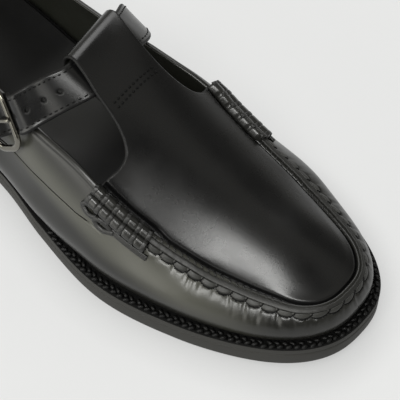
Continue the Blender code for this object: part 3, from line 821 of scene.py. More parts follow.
def make_wall():
    """Vamp and quarters: outside with gathers and panel seam, rolled topline, lining inside."""
    angle = wall_turns()
    total = wall_length(angle)
    x = outline(angle)[:, 0]
    behind = 1 - smooth((x - 170) / 10)
    lap = np.clip(lap_line(x), 13.0, total - 2.5)
    lapped = behind * (lap < total - 3.0)
    down = wall_levels(lap, total)
    at = np.interp(angle, seam_turn, seam_run)
    shown = (angle > SEAM_FIRST) & (angle < 2 * np.pi - SEAM_FIRST)
    rise = wall_rise(x, down, lap, total, behind, lapped)
    rise[shown] += gather_rise(down[shown], at[shown])
    place, out = beside_seam(angle, down)
    outer = place + out * rise[..., None]
    rim_way = unit(outer[:, 0] - outer[:, 2])
    middle = outer[:, 0] - out[:, 0] * WALL / 2
    rim = []
    for t in np.linspace(0, math.pi, 8)[1:-1]:
        rim.append(middle + (out[:, 0] * math.cos(t) + rim_way * math.sin(t)) * WALL / 2)
    rim = np.stack(rim, 1)
    place, out = beside_seam(angle, total[:, None] * np.linspace(0, 1, 12)[None])
    inner = place - out * WALL
    rows = np.concatenate([outer[:, ::-1], rim, inner], 1)
    count = rows.shape[1]
    faces = grid_faces(len(angle), count, True, True)
    # Lining inside; strips of the thread material in the panel seam's groove and round the scalloped edge
    # paint the shade along those lines.
    column_of = faces[:, 0] % count
    index = ((column_of >= down.shape[1] + 4) | (column_of == count - 1)).astype(int)
    level = np.concatenate([down[:, ::-1], np.zeros((len(angle), count - down.shape[1]))], 1).reshape(-1)
    level = (level[faces[:, 0]] + level[faces[:, 1]]) / 2
    row_of = faces[:, 0] // count
    from_lap = level - (lap - FAR_OFF * (1 - lapped))[row_of]
    index[(np.abs(from_lap) < 0.3) & (index == 0)] = 2
    from_scallop = level - np.where(shown, scallop_foot(at)[1], -FAR_OFF)[row_of]
    index[(np.abs(from_scallop - 0.15) < 0.42) & (index == 0)] = 2
    looks = [wall_calf, lining, thread]
    piece("upper_wall", rows.reshape(-1, 3), faces, looks, "leather_black", ["upper"], index=index)


edge_lateral = through(EDGE_LATERAL, 10)
edge_medial = through(EDGE_MEDIAL, 10)


def fold_start(y):
    return FOLD_X - FOLD_SKEW * y


def tab_end(y):
    return fold_start(y) - math.pi * FOLD_RADIUS - RETURN_LEG


def plug_keep(p):
    lateral = side_of(p, edge_lateral)
    medial = -side_of(p, edge_medial)
    return np.minimum(np.minimum(lateral, medial) - WALL / 2, p[:, 0] - tab_end(p[:, 1]))


GUIDE_FIRST = station_angle(ROLL_BACK + 3)
guide_line = guide(np.linspace(GUIDE_FIRST, 2 * np.pi - GUIDE_FIRST, 301))[:, :2]

# Height of the plug and tab over a plan grid of 1 mm: the dome, evened out away from the seam.
FIELD_X = np.arange(112.0, 273.0, 1.0)
FIELD_Y = np.arange(-54.35, 56.0, 1.0)
FIELD_BLUR = 6.0
# Plug toward the toe: station where its crest starts to lift and shift, lift, and its swell beside the roll.
TOE_FROM = 218.0
TOE_LIFT = 1.3
ROLL_SWELL = 1.2
# Tab edges at stations along its middle: station, lateral y, medial y.
TAB_EDGE = np.array([
    (135, -12.0, 16.4), (141, -12.2, 16.0), (150, -13.2, 14.6), (160, -14.8, 15.2), (175, -19.0, 20.0),
])


def blurred(field, wide):
    reach = int(3 * wide)
    kernel = np.exp(-0.5 * (np.arange(-reach, reach + 1) / wide) ** 2)
    kernel /= kernel.sum()
    for axis in (0, 1):
        pad = [(reach, reach) if a == axis else (0, 0) for a in (0, 1)]
        full = np.pad(field, pad, mode="reflect", reflect_type="odd")
        field = np.apply_along_axis(lambda line: np.convolve(line, kernel, "valid"), axis, full)
    return field


def read_field(field, x, y):
    u = np.clip(x - FIELD_X[0], 0, len(FIELD_X) - 1.001)
    v = np.clip(y - FIELD_Y[0], 0, len(FIELD_Y) - 1.001)
    i = u.astype(int)
    j = v.astype(int)
    u = u - i
    v = v - j
    return ((field[i, j] * (1 - v) + field[i, j + 1] * v) * (1 - u)
            + (field[i + 1, j] * (1 - v) + field[i + 1, j + 1] * v) * u)


def make_field():
    """Heights of the plug and tab over the plan grid."""
    x, y = np.meshgrid(FIELD_X, FIELD_Y, indexing="ij")
    turn = np.linspace(station_angle(60.0), 2 * np.pi - station_angle(60.0), 361)
    line = guide(turn)
    flat = np.stack([x.ravel(), y.ravel()], -1)
    beside = side_of(flat, line[:, :2]).reshape(x.shape)
    near = np.array([np.linalg.norm(line[:, :2] - p, axis=1).argmin() for p in flat]).reshape(x.shape)
    dome_z = np.where(beside > 0, dome_height(x, y), line[near, 2] + 0.6 * beside)
    # The tab lies flat between its edges toward the fold.
    station = x + FOLD_SKEW * y
    low_y = np.interp(station, TAB_EDGE[:, 0], TAB_EDGE[:, 1])
    high_y = np.interp(station, TAB_EDGE[:, 0], TAB_EDGE[:, 2])
    low = read_field(dome_z, station - FOLD_SKEW * low_y, low_y)
    high = read_field(dome_z, station - FOLD_SKEW * high_y, high_y)
    level = low + (high - low) * (y - low_y) / (high_y - low_y)
    share = 1 - smooth((station - 147.0) / 24.0)
    even = dome_z + (level - dome_z) * share
    # Toward the toe the section across the plug keeps its shape.
    half = len(turn) // 2
    low_y = np.interp(FIELD_X, line[:half + 1, 0], line[:half + 1, 1])[:, None]
    high_y = np.interp(FIELD_X, line[:half - 1:-1, 0], line[:half - 1:-1, 1])[:, None]
    side_z = np.interp(FIELD_X, line[:half + 1, 0], line[:half + 1, 2])[:, None]
    middle_z = dome_z[:, np.abs(FIELD_Y - 2.65).argmin()][:, None]
    begun = smooth((x - TOE_FROM) / 26)
    middle_z = middle_z + TOE_LIFT * begun * smooth((262 - x) / 12)
    ridge = (low_y + high_y) / 2 + 2.0 * begun + 3.5 * smooth((x - 238) / 14)
    reach = np.where(y < ridge, ridge - low_y, high_y - ridge)
    off = np.clip(np.abs(y - ridge) / np.maximum(reach, 3.0), 0, 1.3)
    section = side_z + (middle_z - side_z) * (1 - off ** 2.0)
    boxy = smooth((x - 212) / 24) * (FIELD_X < line[half, 0] - 1.0)[:, None]
    even = even + (section - even) * np.where(beside > 0, boxy, 0.0)
    # Soft swell of the plug beside the lateral roll.
    even = even + ROLL_SWELL * np.exp(-((x - 180) / 15) ** 2 - ((y + 25) / 7.5) ** 2)
    even = blurred(even, FIELD_BLUR) * (1 - share) + blurred(even, 2.0) * share
    share = smooth((beside - 0.5) / 5.0)
    return dome_z * (1 - share) + even * share


plug_field = make_field()
plug_slope = np.gradient(plug_field)


def plug_face(x, y):
    """Point of the plug or tab over a place seen from above, and its outward direction."""
    x, y = paired(x, y)
    point = np.stack([x, y, read_field(plug_field, x, y)], -1)
    slope_x, slope_y = (read_field(slope, x, y) for slope in plug_slope)
    return point, unit(np.stack([-slope_x, -slope_y, np.ones(x.shape)], -1))


def plug_place(p):
    """Plug and tab; behind the fold the tab turns round and runs forward under the strap."""
    x, y = p[:, 0], p[:, 1]
    start = fold_start(y)
    run = np.maximum(start - x, 0)
    turn = np.minimum(run / FOLD_RADIUS, math.pi)
    leg = np.maximum(run - math.pi * FOLD_RADIUS, 0)
    point, out = plug_face(np.where(leg > 0, start + leg, np.maximum(x, start)), y)
    behind = np.broadcast_to((-1.0, 0.0, 0.0), out.shape)
    back = unit(behind - out * (behind * out).sum(-1)[:, None])
    s = np.sin(turn)[:, None]
    c = np.cos(turn)[:, None]
    depth = np.interp(leg, RETURN_DEPTH[:, 0], RETURN_DEPTH[:, 1])[:, None]
    folded = point + FOLD_RADIUS * (s * back + (c - 1) * out)
    place = np.where((leg > 0)[:, None], point - out * depth, folded)
    out = s * back + c * out
    # The plug dips into the seam's groove.
    near = np.abs(side_of(p, guide_line))
    wide = 0.75 + 0.9 * (1 - smooth((x - ROLL_FRONT + 4) / 8))
    sink = GROOVE_DEPTH * np.exp(-(np.maximum(near - wide, 0) / 0.75) ** 2) * smooth((x - ROLL_BACK - 1) / 5)
    return place - out * sink[:, None], out


def welded(params, faces):
    """Sheet with doubled points made one."""
    _, first, number = np.unique(np.round(params, 4), axis=0, return_index=True, return_inverse=True)
    faces = number.reshape(-1)[faces]
    good = (faces[:, 0] != faces[:, 1]) & (faces[:, 1] != faces[:, 2]) & (faces[:, 0] != faces[:, 2])
    return params[first], faces[good]


def make_plug():
    """Plug and tab as one panel, cut along its edges."""
    first = station_angle(97.0)
    angle = np.concatenate([np.linspace(first, 2.6, 230), np.linspace(2.6, math.pi, 80)[1:]])
    q = np.concatenate([np.linspace(0, 0.12, 12)[:-1], np.linspace(0.12, 1, 34)])
    lateral = dome(angle[:, None] + 0 * q, q[None] + 0 * angle[:, None])[..., :2]
    medial = dome(2 * np.pi - angle[:, None] + 0 * q, q[None] + 0 * angle[:, None])[..., :2]
    medial[-1] = lateral[-1]
    params = np.concatenate([lateral, medial[:, -2::-1]], 1)
    params, faces = welded(params.reshape(-1, 2), triangles(grid_faces(*params.shape[:2])))
    params, faces = cut_sheet(params, faces, plug_keep)
    verts, skin, count = shell(params, faces, plug_place, plug_keep, WALL)
    index = np.zeros(len(skin), int)
    index[count:2 * count] = 1
    index[2 * count:] = 2
    piece("plug_and_tab", verts, skin, [calf, lining, edge_paint], "leather_black", index=index)


def make_seam():
    """Flat band, gathered edge and stitches of the moccasin seam."""
    length = np.linspace(-3.0, SEAM_LENGTH + 3.0, 900)
    past = np.where(length < 0, length, np.maximum(length - SEAM_LENGTH, 0))
    angle = seam_angle(length) + past / 110
    wide = BAND_END - BAND_START
    section = BAND_SECTION
    wave = 0.05 * np.sin(length * 0.7) + 0.05 * np.sin(length * 1.9 + 1.0)
    down = BAND_START + section[None, :, 0] * wide + wave[:, None] * (section[None, :, 0] < 0.5)
    down = down * narrow(length)[:, None]
    place, out = beside_seam(angle, down)
    lift = section[None, :, 1] * BAND_HEIGHT * (1 + 0.5 * wave[:, None])
    piece("moc_band", *swept(place + out * lift[..., None]), [band_calf], "leather_black", sharp=50)
    # Gathered edge of the vamp: a row of leaves, each pinched by a stitch.
    swell, foot = scallop_foot(length)
    across = np.linspace(0, 1, 15)
    start = EDGE_TOP * narrow(length)
    below = start[:, None] + across[None] * (foot - start)[:, None]
    bulge = np.clip(across / 0.16, 0, 1) ** 0.5 * np.clip((1 - across) / 0.22, 0, 1) ** 0.5
    tall = 0.1 + (0.25 + (EDGE_HEIGHT - 0.25) * swell)[:, None] * bulge[None] * (1.05 - 0.3 * across[None])
    place, out = beside_seam(angle, below)
    top = place + out * tall[..., None]
    bottom = place - out * 0.6
    piece("moc_edge", *swept(np.concatenate([top, bottom[:, ::-1]], 1)), [gathered], "leather_black")
    # Threads across the gathered edge and slanted ones in the groove beside the plug.
    turn = seam_angle(stitch_run)
    ahead = seam_angle(stitch_run + 1.1)
    high, up_high = beside_seam(ahead, (EDGE_TOP * narrow(stitch_run) - 0.1)[:, None])
    low, up_low = beside_seam(turn, (EDGE_FOOT * narrow(stitch_run) - 0.7)[:, None])
    cross = stitches(high[:, 0] + up_high[:, 0] * 0.55, low[:, 0] + up_low[:, 0] * 0.1,
                     unit(up_high[:, 0] + up_low[:, 0]), 0.34, 0.3)
    piece("moc_cross_stitches", *cross, [thread], "leather_black")
    along = np.arange(1.0, SEAM_LENGTH - 1, PLUG_STITCH_PITCH)
    along = along + draw.uniform(-0.25, 0.25, len(along))
    a, up_a = beside_seam(seam_angle(along), np.full((len(along), 1), -0.75))
    b, up_b = beside_seam(seam_angle(along + 1.9), np.full((len(along), 1), 0.55))
    up = unit(up_a[:, 0] + up_b[:, 0])
    dashes = stitches(a[:, 0] - up_a[:, 0] * 0.75, b[:, 0] - up_b[:, 0] * 0.45, up, 0.42, 0.3)
    piece("moc_plug_stitches", *dashes, [cord_look], "leather_black")


def flat_strip(points, up, wide, thick):
    """Flat thong along points, lying against the surface."""
    run = unit(np.gradient(points, axis=0))
    side = unit(np.cross(run, up))
    lift = unit(np.cross(side, run))
    turn = np.linspace(0, 2 * np.pi, 17)[:-1]
    shape_x = np.sign(np.cos(turn)) * np.abs(np.cos(turn)) ** 0.5 * wide / 2
    shape_z = np.sign(np.sin(turn)) * np.abs(np.sin(turn)) ** 0.5 * thick / 2
    ring = side[:, None] * shape_x[None, :, None] + lift[:, None] * shape_z[None, :, None]
    return swept(points[:, None] + ring)


def make_roll(side, name):
    """Bound roll at one end of the seam: two lobes, flat wraps, thong and knot."""
    turn = np.linspace(station_angle(ROLL_BACK, side), station_angle(ROLL_FRONT, side), 121)
    line = guide(turn)
    run = run_along(line)
    full = run[-1]
    per_mm = (turn[-1] - turn[0]) / full

    def turn_at(length):
        past = np.where(length < 0, length, np.maximum(length - full, 0))
        return np.interp(length, run, turn) + past * per_mm

    def spot(length, down, lift):
        place, out = beside_seam(turn_at(np.asarray(length, float)), np.asarray(down, float)[:, None])
        return place[:, 0] + out[:, 0] * np.asarray(lift, float)[:, None], out[:, 0]

    def profile(down):
        round_off = [np.clip(1 - np.abs((down - m) / w) ** ROLL_ROUND, 0, 1) for m, w, _ in ROLL_LOBES]
        return np.max([lobe[2] * part ** 0.5 for lobe, part in zip(ROLL_LOBES, round_off)], 0)

    length = np.linspace(-0.4, full + 0.4, 161)
    phase = length / full * ROLL_BLOCKS % 1.0
    swell = smooth(np.minimum(phase, 1 - phase) / 0.3)
    end = np.sqrt(np.clip(np.minimum(length + 0.4, full + 0.4 - length) / 1.0, 0.02, 1))
    angle = turn_at(length)
    parts = []
    for middle, half, height in ROLL_LOBES:
        across = np.linspace(-1, 1, 19)
        size = (0.86 + 0.14 * swell) * end
        below = middle + across[None] * half * size[:, None]
        tall = height * size[:, None] * (1 - np.abs(across[None]) ** ROLL_ROUND) ** 0.5
        place, out = beside_seam(angle, below)
        parts.append(swept(np.concatenate([place + out * tall[..., None], (place - out * 0.5)[:, ::-1]], 1)))
    piece("roll_leather_" + name, *joined(parts), [roll_calf], "leather_black", ["beef_roll_" + name])
    cords = []
    for k in range(ROLL_BLOCKS + 1):
        at = np.clip(full * k / ROLL_BLOCKS, 0.6, full - 0.6)
        down = np.linspace(-1.1, 7.5, 31)
        points, out = spot(np.linspace(at + 0.4, at - 0.4, 31), down, profile(down) * 0.93 - 0.05)
        cords.append(flat_strip(points, out, 1.8, 0.7))
    # Flat thong along the lower side and its loops at the rear.
    way = through([(12.0, 8.8, 0.5), (17.0, 8.7, 0.7), (24.0, 8.6, 0.7), (full + 1.8, 8.5, 0.7)], 14)
    points, out = spot(*way.T)
    cords.append(flat_strip(points, out, 2.2, 1.1))
    for loop in ROLL_LOOPS:
        points, out = spot(*through(loop, 10).T)
        cords.append(tube(points, 1.15, out, flat=0.75, blunt=0.8))
    piece("roll_cords_" + name, *joined(cords), [cord_look], "leather_black")


# Buckle axes.
way = unit(BUCKLE_WAY)
bar_way = unit(BUCKLE_UP - way * (BUCKLE_UP @ way))
face = np.cross(bar_way, way)
hinge = BUCKLE_FRONT + way * BUCKLE_ALONG


def in_buckle(ahead, across, off):
    """Place by distance ahead of the hinge bar, across the strap and off the frame's plane."""
    return hinge - way * ahead + bar_way * across + face * off


def make_buckle():
    """Frame of the buckle and its prong."""
    ring = []
    for corner, (ax, ay) in enumerate(((1, 1), (1, -1), (-1, -1), (-1, 1))):
        middle = (BUCKLE_ALONG / 2 + ax * (BUCKLE_ALONG / 2 - BUCKLE_CORNER),
                  ay * (BUCKLE_ACROSS / 2 - BUCKLE_CORNER))
        for k in range(17):
            turn = math.radians(90 - 90 * corner - 90 * k / 16)
            ring.append(in_buckle(middle[0] + BUCKLE_CORNER * math.cos(turn),
                                  middle[1] + BUCKLE_CORNER * math.sin(turn), 0.0))
    frame_skin = tube(ring, 1.45, np.broadcast_to(face, (len(ring), 3)), sides=16, flat=0.75, closed=True)
    piece("buckle_ring", *frame_skin, [metal], "buckle_metal", ["buckle_frame"])
    reach = BUCKLE_BAR + FIT_GAP + PRONG
    rows = [(reach * math.cos(t), 0.0, reach * math.sin(t)) for t in np.radians(np.linspace(310, 100, 9))]
    rows += [(a, 0.0, reach) for a in (2.5, 7.0, 11.0, 14.0, BUCKLE_ALONG + 0.6)]
    rows.append((BUCKLE_ALONG + 2.2, 0.0, reach - 0.35))
    points = np.array([in_buckle(*r) for r in through(rows, 5)])
    prong = tube(points, 0.85, np.broadcast_to(bar_way, (len(points), 3)), sides=12, blunt=0.6)
    piece("buckle_pin", *prong, [metal], "buckle_metal", ["buckle_prong"])


def strap_rows():
    """Front and rear edge of the strap from its medial end through the tab and the buckle."""
    rows = [tuple(r) for r in STRAP_MEDIAL]
    for y in (15.0, 8.0, 0.0, -7.0, -12.6):
        row = []
        for x, skew, depth in STRAP_LOOP:
            point, out = plug_face(x - skew * y, y)
            row.extend(point - out * depth)
        rows.append(tuple(row))
    start = np.array(rows[-1])
    for ahead, off in STRAP_BUCKLE:
        low, high = STRAP_OFFSET - STRAP_HALF, STRAP_OFFSET + STRAP_HALF
        rows.append((*in_buckle(ahead, low, off), *in_buckle(ahead, high, off)))
    end = np.array(rows[-len(STRAP_BUCKLE)])
    between = [start + (end - start) * t + STRAP_BOW * math.sin(math.pi * t) for t in (0.33, 0.67)]
    return np.array([*rows[:-len(STRAP_BUCKLE)], *between, *rows[-len(STRAP_BUCKLE):]])


def lay_strap():
    """Middle of the strap as a grid of points, pushed clear of the wall on both sides."""
    across = np.linspace(0, 1, 9)
    grid = np.array([[r[:3] + (r[3:] - r[:3]) * w for w in across] for r in through(strap_rows(), 16)])
    around = range(-14, 15)
    for side in (-1, 1):
        topline = guide_z(grid[..., 0])
        beside = wall_y(grid[..., 0], np.minimum(grid[..., 2], topline - TRIM), side)
        short = beside + side * (STRAP_THICK / 2 + STRAP_CLEAR) - grid[..., 1]
        close = (grid[..., 1] * side > 20) & (grid[..., 2] < topline + 3.0) & (short * side > 0)
        push = np.where(close, np.abs(short), 0.0)
        push = np.max([np.roll(push, k, 0) for k in around], 0)
        push = np.mean([np.roll(push, k, 0) for k in around], 0)
        if side < 0:
            # From the tab the strap runs straight to where it lies on the wall.
            at_bar = np.linalg.norm(grid[:, 4] - UNDER_FRONT_BAR, axis=-1).argmin()
            lying = at_bar - 24 + push[at_bar - 24:at_bar, 4].argmax()
            row = np.arange(len(push))
            toward = np.clip(1 - (lying - row) / 68, 0, 1)
            ramp = np.where(row <= lying, toward, 1 - smooth((row - lying) / 20))
            push = np.maximum(push, ramp[:, None] * 0.7 * push[lying].max())
        grid[..., 1] += side * push
    return grid


UNDER_FRONT_BAR = in_buckle(BUCKLE_ALONG, 0.0, -2.0)
strap_grid = lay_strap()
strap_far = run_along(strap_grid[:, 4])
STRAP_LONG = strap_far[-1]
FRONT_BAR_AT = strap_far[np.linalg.norm(strap_grid[:, 4] - UNDER_FRONT_BAR, axis=-1).argmin()]
STRAP_HOLES = FRONT_BAR_AT - np.array((9.6, 16.9, 23.9))
# Soft waves of the strap between buckle and tab: distance from the front bar, height, half width.
STRAP_WAVES = np.array([(2.0, 0.25, 3.5), (15.3, -0.6, 4.0), (23.8, 0.55, 4.2)])


def strap_middle(p):
    u = np.interp(p[:, 0], strap_far, np.arange(len(strap_far)))
    v = np.clip(p[:, 1] / STRAP_WIDE, -0.1, 1.1) * 8
    i = np.clip(u.astype(int), 0, len(strap_far) - 2)
    j = np.clip(v.astype(int), 0, 7)
    u = (u - i)[:, None]
    v = (v - j)[:, None]
    return ((strap_grid[i, j] * (1 - u) + strap_grid[i + 1, j] * u) * (1 - v)
            + (strap_grid[i, j + 1] * (1 - u) + strap_grid[i + 1, j + 1] * u) * v)


def strap_place(p):
    """Outer face of the strap at a length from its medial end and a distance across it."""
    along = strap_middle(p + (0.6, 0)) - strap_middle(p - (0.6, 0))
    across = strap_middle(p + (0, 0.8)) - strap_middle(p - (0, 0.8))
    out = unit(np.cross(across, along))
    flip = np.where((out * strap_outside(p)).sum(-1) < 0, -1.0, 1.0)
    out = out * flip[:, None]
    ahead = FRONT_BAR_AT - p[:, 0]
    wave = sum(h * np.exp(-((ahead - at) / w) ** 2) for at, h, w in STRAP_WAVES)
    return strap_middle(p) + out * (STRAP_THICK / 2 + wave)[:, None], out


def strap_outside(p):
    """Rough direction out of the shoe."""
    return unit(strap_middle(p) - np.array((120.0, -2.0, 25.0)))


def strap_keep(p):
    """Positive inside the strap's outline and outside its holes."""
    edge = STRAP_WIDE / 2 - np.abs(p[:, 1] - STRAP_WIDE / 2)
    ends = np.minimum(p[:, 0], STRAP_LONG - p[:, 0])
    corner = np.minimum(edge, ends) - STRAP_THICK / 2
    for hole in STRAP_HOLES:
        reach = np.hypot(p[:, 0] - hole, p[:, 1] - STRAP_WIDE / 2)
        corner = np.minimum(corner, reach - HOLE_RADIUS - STRAP_THICK / 2)
    return corner


def make_strap():
    """Strap with its holes and edge stitches."""
    u = np.linspace(0, STRAP_LONG, int(STRAP_LONG / 0.6))
    v = np.linspace(0, STRAP_WIDE, 27)
    params = np.stack(np.meshgrid(u, v, indexing="ij"), -1)
    faces = triangles(grid_faces(*params.shape[:2]))
    params, faces = cut_sheet(params.reshape(-1, 2), faces, strap_keep)
    verts, skin, count = shell(params, faces, strap_place, strap_keep, STRAP_THICK, steps=6)
    index = np.zeros(len(skin), int)
    index[2 * count:] = 1
    piece("instep_strap", verts, skin, [calf, edge_paint], "leather_black", ["strap"], index=index)
    rows = []
    for v in (STRAP_STITCH_IN, STRAP_WIDE - STRAP_STITCH_IN):
        at = np.arange(3.0, STRAP_LONG - 4.0, STRAP_STITCH_PITCH)
        line = np.stack([at, np.full(len(at), v)], -1)
        rows.append(sewn(strap_place, line, line + (STRAP_STITCH_LONG, 0.0), 0.12, 0.3, 0.14))
    piece("strap_stitches", *joined(rows), [thread], "leather_black")


def make_tab_stitches():
    """Two rows of stitches across the tab."""
    rows = []
    for x in TAB_STITCH_ROWS:
        y = np.arange(-11.2, 11.0, TAB_STITCH_PITCH)
        line = np.stack([x - 0.05 * y, y], -1)
        rows.append(sewn(plug_place, line, line + (0.0, TAB_STITCH_LONG), 0.1, 0.46, 0.16))
    piece("tab_stitches", *joined(rows), [thread], "leather_black")


def make_plate(name, profile, looks, slot, nodes, front=None, crown=None):
    """Plate along the sole; profile lists inset and height from the top face round to the underside."""
    half = np.linspace(0, np.pi, 260)
    if front is not None:
        half = half[outline(half)[:, 0] < front]
        half = np.append(half, station_angle(front))
    sections = []
    levels = []
    for distance, height in profile:
        left = inset(half, distance(half))
        right = inset(2 * np.pi - half, distance(2 * np.pi - half))
        right[0] = left[0]
        if front is None:
            right[-1] = left[-1]
        else:
            left[-1, 0] = right[-1, 0] = front
        levels.append((left, right, height))
    across = np.linspace(0, 1, 25)
    left, right, height = levels[0]
    for t in across:
        p = left + (right - left) * t
        z = height(p[:, 0])
        if crown is not None:
            z = z + crown(t, p)
        sections.append(np.c_[p, z])
    for _, right, height in levels[1:]:
        sections.append(np.c_[right, height(right[:, 0])])
    left, right, height = levels[-1]
    for t in across[1:-1]:
        p = right + (left - right) * t
        sections.append(np.c_[p, height(p[:, 0])])
    for left, _, height in levels[:0:-1]:
        sections.append(np.c_[left, height(left[:, 0])])
    piece(name, *swept(np.stack(sections, 1)), looks, slot, nodes, sharp=40)


def const(value):
    return lambda angle: np.full(np.shape(angle), value)


def at_height(height):
    return lambda x: np.full(np.shape(x), height)


def raised(base, rise):
    return lambda x: base(x) + rise


def make_sole():
    """Outsole and block heel."""
    top = raised(tread_z, OUTSOLE_THICK)
    make_plate("outsole_body", [
        (const(0.9), top), (const(0.35), raised(top, -0.1)), (const(0.08), raised(top, -0.4)),
        (const(0.0), raised(top, -1.0)), (const(0.0), raised(tread_z, 1.1)),
        (const(0.12), raised(tread_z, 0.45)), (const(0.45), raised(tread_z, 0.1)), (const(1.1), tread_z),
    ], [rubber], "sole_rubber", ["outsole"])

    def taper(share):
        return const(0.6 + 1.5 * share)

    make_plate("heel_block", [
        (taper(0.0), raised(tread_z, -FIT_GAP)), (taper(0.62), at_height(7.2)),
        (const(1.85), at_height(6.9)), (const(1.85), at_height(6.5)),
        (taper(0.66), at_height(6.2)), (taper(0.97), at_height(0.6)), (const(2.7), at_height(0.0)),
    ], [rubber], "sole_rubber", ["heel"], front=HEEL_LENGTH)


def make_foot_bed():
    """Foot bed inside the wall, slightly cupped."""
    bed_top = raised(raised(tread_z, SOLE_EDGE), INSOLE_RISE)

    def within(extra):
        return lambda angle: margin(angle) + (WALL + 1.3) + extra

    def cup(t, p):
        return -0.5 * np.clip(np.minimum(t, 1 - t) * 8, 0, 1) * np.ones(len(p))

    make_plate("foot_bed", [
        (within(0.5), raised(bed_top, 0.4)), (within(0.0), bed_top), (within(0.0), raised(bed_top, -3.0)),
        (within(0.5), raised(bed_top, -4.1)),
    ], [sock], "foot_bed", ["insole"], crown=cup)


def welt_row(angle, distance, height):
    """Points round the sole at a distance inside its outline and a height above the outsole."""
    p = inset(angle, distance)
    return np.c_[p, tread_z(p[:, 0]) + OUTSOLE_THICK + FIT_GAP + height]


def make_welt():
    """Welt strip with a shallow channel, and the braid of lock stitches in it."""
    even = np.linspace(0, 2 * np.pi, 4001)
    run = run_along(outline(even))
    angle = np.interp(np.linspace(0, run[-1], 701)[:-1], run, even)
    show = margin(angle)
    wide = show + WALL + 1.0
    edge = np.minimum(0.5, show * 0.4)
    stitch_at = np.minimum(0.46 * show, 2.3)
    dip = smooth((show - 1.8) / 1.0)
    flat = np.ones(len(angle))
    rows = []
    side = ((0.4 * flat, 0.0), (0 * flat, 0.4), (0 * flat, 2.3), (0.12 * flat, 2.75), (edge, WELT_THICK))
    for distance, height in side:
        rows.append(welt_row(angle, distance, height))
    for offset, depth in ((-0.75, 0.0), (-0.4, 0.28), (0.4, 0.28), (0.75, 0.0)):
        channel = np.maximum(stitch_at + offset * dip, edge + 0.01 * (offset + 1))
        rows.append(welt_row(angle, channel, WELT_THICK - depth * dip))
    for distance, height in ((wide - 0.3, WELT_THICK), (wide, 2.7), (wide, 0.0)):
        rows.append(welt_row(angle, distance, height))
    verts, faces = swept(np.stack(rows, 1), closed=True)
    outside = np.array([f[0] % len(rows) < 3 for f in faces]).astype(int)
    piece("welt_strip", verts, faces, [welting, rubber], "welt_black", ["welt"], index=outside, sharp=35)
    # Two rows of slanted lock stitches that read as one braid.
    rows = []
    for stitch_in, slant, start in WELT_STITCH_ROWS:
        at = np.arange(start, run[-1], WELT_STITCH_PITCH)
        at = at[margin(np.interp(at, run, even)) > stitch_in + 0.7]
        at = at + draw.uniform(-0.35, 0.35, len(at))
        ends = []
        for ahead, distance in ((0.0, stitch_in - slant), (WELT_STITCH_LONG, stitch_in + slant)):
            distance = distance + draw.uniform(-0.25, 0.25, len(at))
            ends.append(inset(np.interp(at + ahead, run, even), distance))
        a, b = (np.c_[p, tread_z(p[:, 0]) + BRAID_HEIGHT + draw.uniform(-0.2, 0.15, len(at))] for p in ends)
        rows.append(stitches(a, b, np.broadcast_to((0.0, 0.0, 1.0), a.shape), 0.8, 0.4))
    piece("welt_stitches", *joined(rows), [waxed], "welt_black")


make_wall()
make_plug()
make_seam()
make_roll(-1, "lateral")
make_roll(1, "medial")
make_strap()
make_tab_stitches()
make_buckle()
make_sole()
make_foot_bed()
make_welt()
tab_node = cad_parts["buckle_tab"]
tab_node.data.materials.clear()
tab_node.data.materials.append(calf)

FLOOR_HALF = 6.0
ROOM_LIGHT = 0.35
# Dim parts of the room: azimuth, elevation, cosine at the outer and inner limit, what is left there.
DIM_PARTS = ((-3.0, 56.0, 0.955, 0.990, 0.1), (86.0, 32.0, 0.86, 0.97, 0.3), (-58.0, 18.0, 0.86, 0.96, 0.1))


def make_floor():
    """Plain pale floor that glows evenly, with a painted contact shadow: its glow is lowered where the shoe
    stands on it.
    """
    mesh = bpy.data.meshes.new("floor")
    corners = [(x * FLOOR_HALF, y * FLOOR_HALF, 0) for x, y in ((-1, -1), (1, -1), (1, 1), (-1, 1))]
    mesh.from_pydata(corners, [], [(0, 1, 2, 3)])
    pale = finish(
        "pale_floor", (0.155, 0.156, 0.155), (0.165, 0.166, 0.165), (0.85, 0.95), grain=3.0, specular=0.0)
    tree = pale.node_tree
    glow = tree.nodes["Principled BSDF"].inputs
    glow["Emission Color"].default_value = (1.0, 1.005, 1.0, 1.0)
    # Painted contact shadow: ambient occlusion lowers the floor's glow near the shoe.
    painted_contact_shadow = node(tree, "ShaderNodeAmbientOcclusion", {"Distance": 0.016}, samples=8).outputs["AO"]
    limits = {"Value": painted_contact_shadow, "From Min": 0.25, "From Max": 1.0, "To Min": 0.43, "To Max": 0.64}
    dim = node(tree, "ShaderNodeMapRange", limits)
    tree.links.new(dim.outputs["Result"], glow["Emission Strength"])
    mesh.materials.append(pale)
    floor = bpy.data.objects.new("floor", mesh)
    bpy.context.scene.collection.objects.link(floor)


def direction(azimuth, elevation):
    a = math.radians(azimuth)
    e = math.radians(elevation)
    return Vector((math.cos(a) * math.cos(e), math.sin(a) * math.cos(e), math.sin(e)))


def softbox(name, azimuth, elevation, distance, wide, tall, radiance, colour=(1.0, 1.0, 1.0)):
    """Soft light seen from the shoe at an azimuth from the toe toward the medial side."""
    data = bpy.data.lights.new(name, "AREA")
    data.shape = "RECTANGLE"
    data.size = wide
    data.size_y = tall
    data.energy = radiance * math.pi * wide * tall
    data.color = colour
    obj = bpy.data.objects.new(name, data)
    way_out = direction(azimuth, elevation)
    obj.location = Vector((0.04, 0.0, 0.03)) + way_out * distance
    obj.rotation_euler = way_out.to_track_quat("Z", "Y").to_euler()
    bpy.context.scene.collection.objects.link(obj)


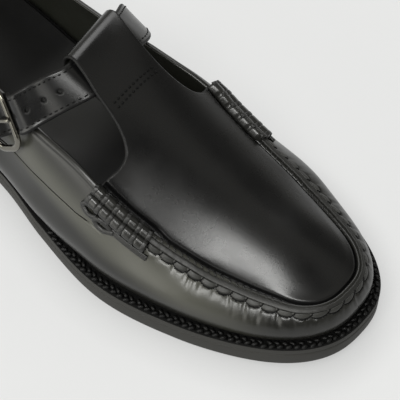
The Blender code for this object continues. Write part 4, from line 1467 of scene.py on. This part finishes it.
def make_room():
    """Soft warm room light with a few dim parts."""
    world = bpy.data.worlds.new("studio")
    world.use_nodes = True
    tree = world.node_tree
    ambient = tree.nodes["Background"].inputs
    ambient["Color"].default_value = (1.0, 0.985, 0.90, 1.0)
    looking = node(tree, "ShaderNodeTexCoord").outputs["Generated"]
    brightness = ROOM_LIGHT
    for azimuth, elevation, outer, inner, left in DIM_PARTS:
        facing = {0: looking, 1: direction(azimuth, elevation)}
        toward = node(tree, "ShaderNodeVectorMath", facing, operation="DOT_PRODUCT").outputs["Value"]
        limits = {"Value": toward, "From Min": outer, "From Max": inner, "To Min": 1.0, "To Max": left}
        shade = node(tree, "ShaderNodeMapRange", limits, interpolation_type="SMOOTHSTEP").outputs["Result"]
        product = node(tree, "ShaderNodeMath", {0: shade, 1: brightness}, operation="MULTIPLY")
        brightness = product.outputs["Value"]
    tree.links.new(brightness, ambient["Strength"])
    bpy.context.scene.world = world
    bpy.context.scene.view_settings.view_transform = "Standard"


def make_camera():
    """Camera at the photo's place."""
    lens = bpy.data.cameras.new("photo_view")
    lens.sensor_width = 36.0
    lens.lens = lens.sensor_width * VIEW_FOCAL / FRAME_PIXELS
    lens.clip_start = 0.01
    camera = bpy.data.objects.new("photo_view", lens)
    az = math.radians(VIEW_AZIMUTH)
    el = math.radians(VIEW_ELEVATION)
    back = Vector((math.sin(az) * math.cos(el), -math.cos(az) * math.cos(el), math.sin(el)))
    right = Vector((math.cos(az), math.sin(az), 0.0))
    above = back.cross(right)
    aim = Vector((np.array(VIEW_AIM) - ORIGIN) * MM)
    turned = Matrix((right, above, back)).transposed().to_4x4()
    camera.matrix_world = Matrix.Translation(aim + back * VIEW_DISTANCE * MM) @ turned
    bpy.context.scene.collection.objects.link(camera)
    bpy.context.scene.camera = camera


make_floor()
softbox("lateral_softbox", -74.0, 53.0, 4.0, 2.0, 1.3, 12.6, (1.0, 1.0, 0.98))
softbox("low_lateral_panel", -115.0, 15.0, 4.0, 5.0, 2.3, 2.6, (1.0, 0.99, 0.93))
softbox("back_softbox", 128.0, 46.0, 4.0, 2.3, 2.2, 3.1)
make_room()
make_camera()
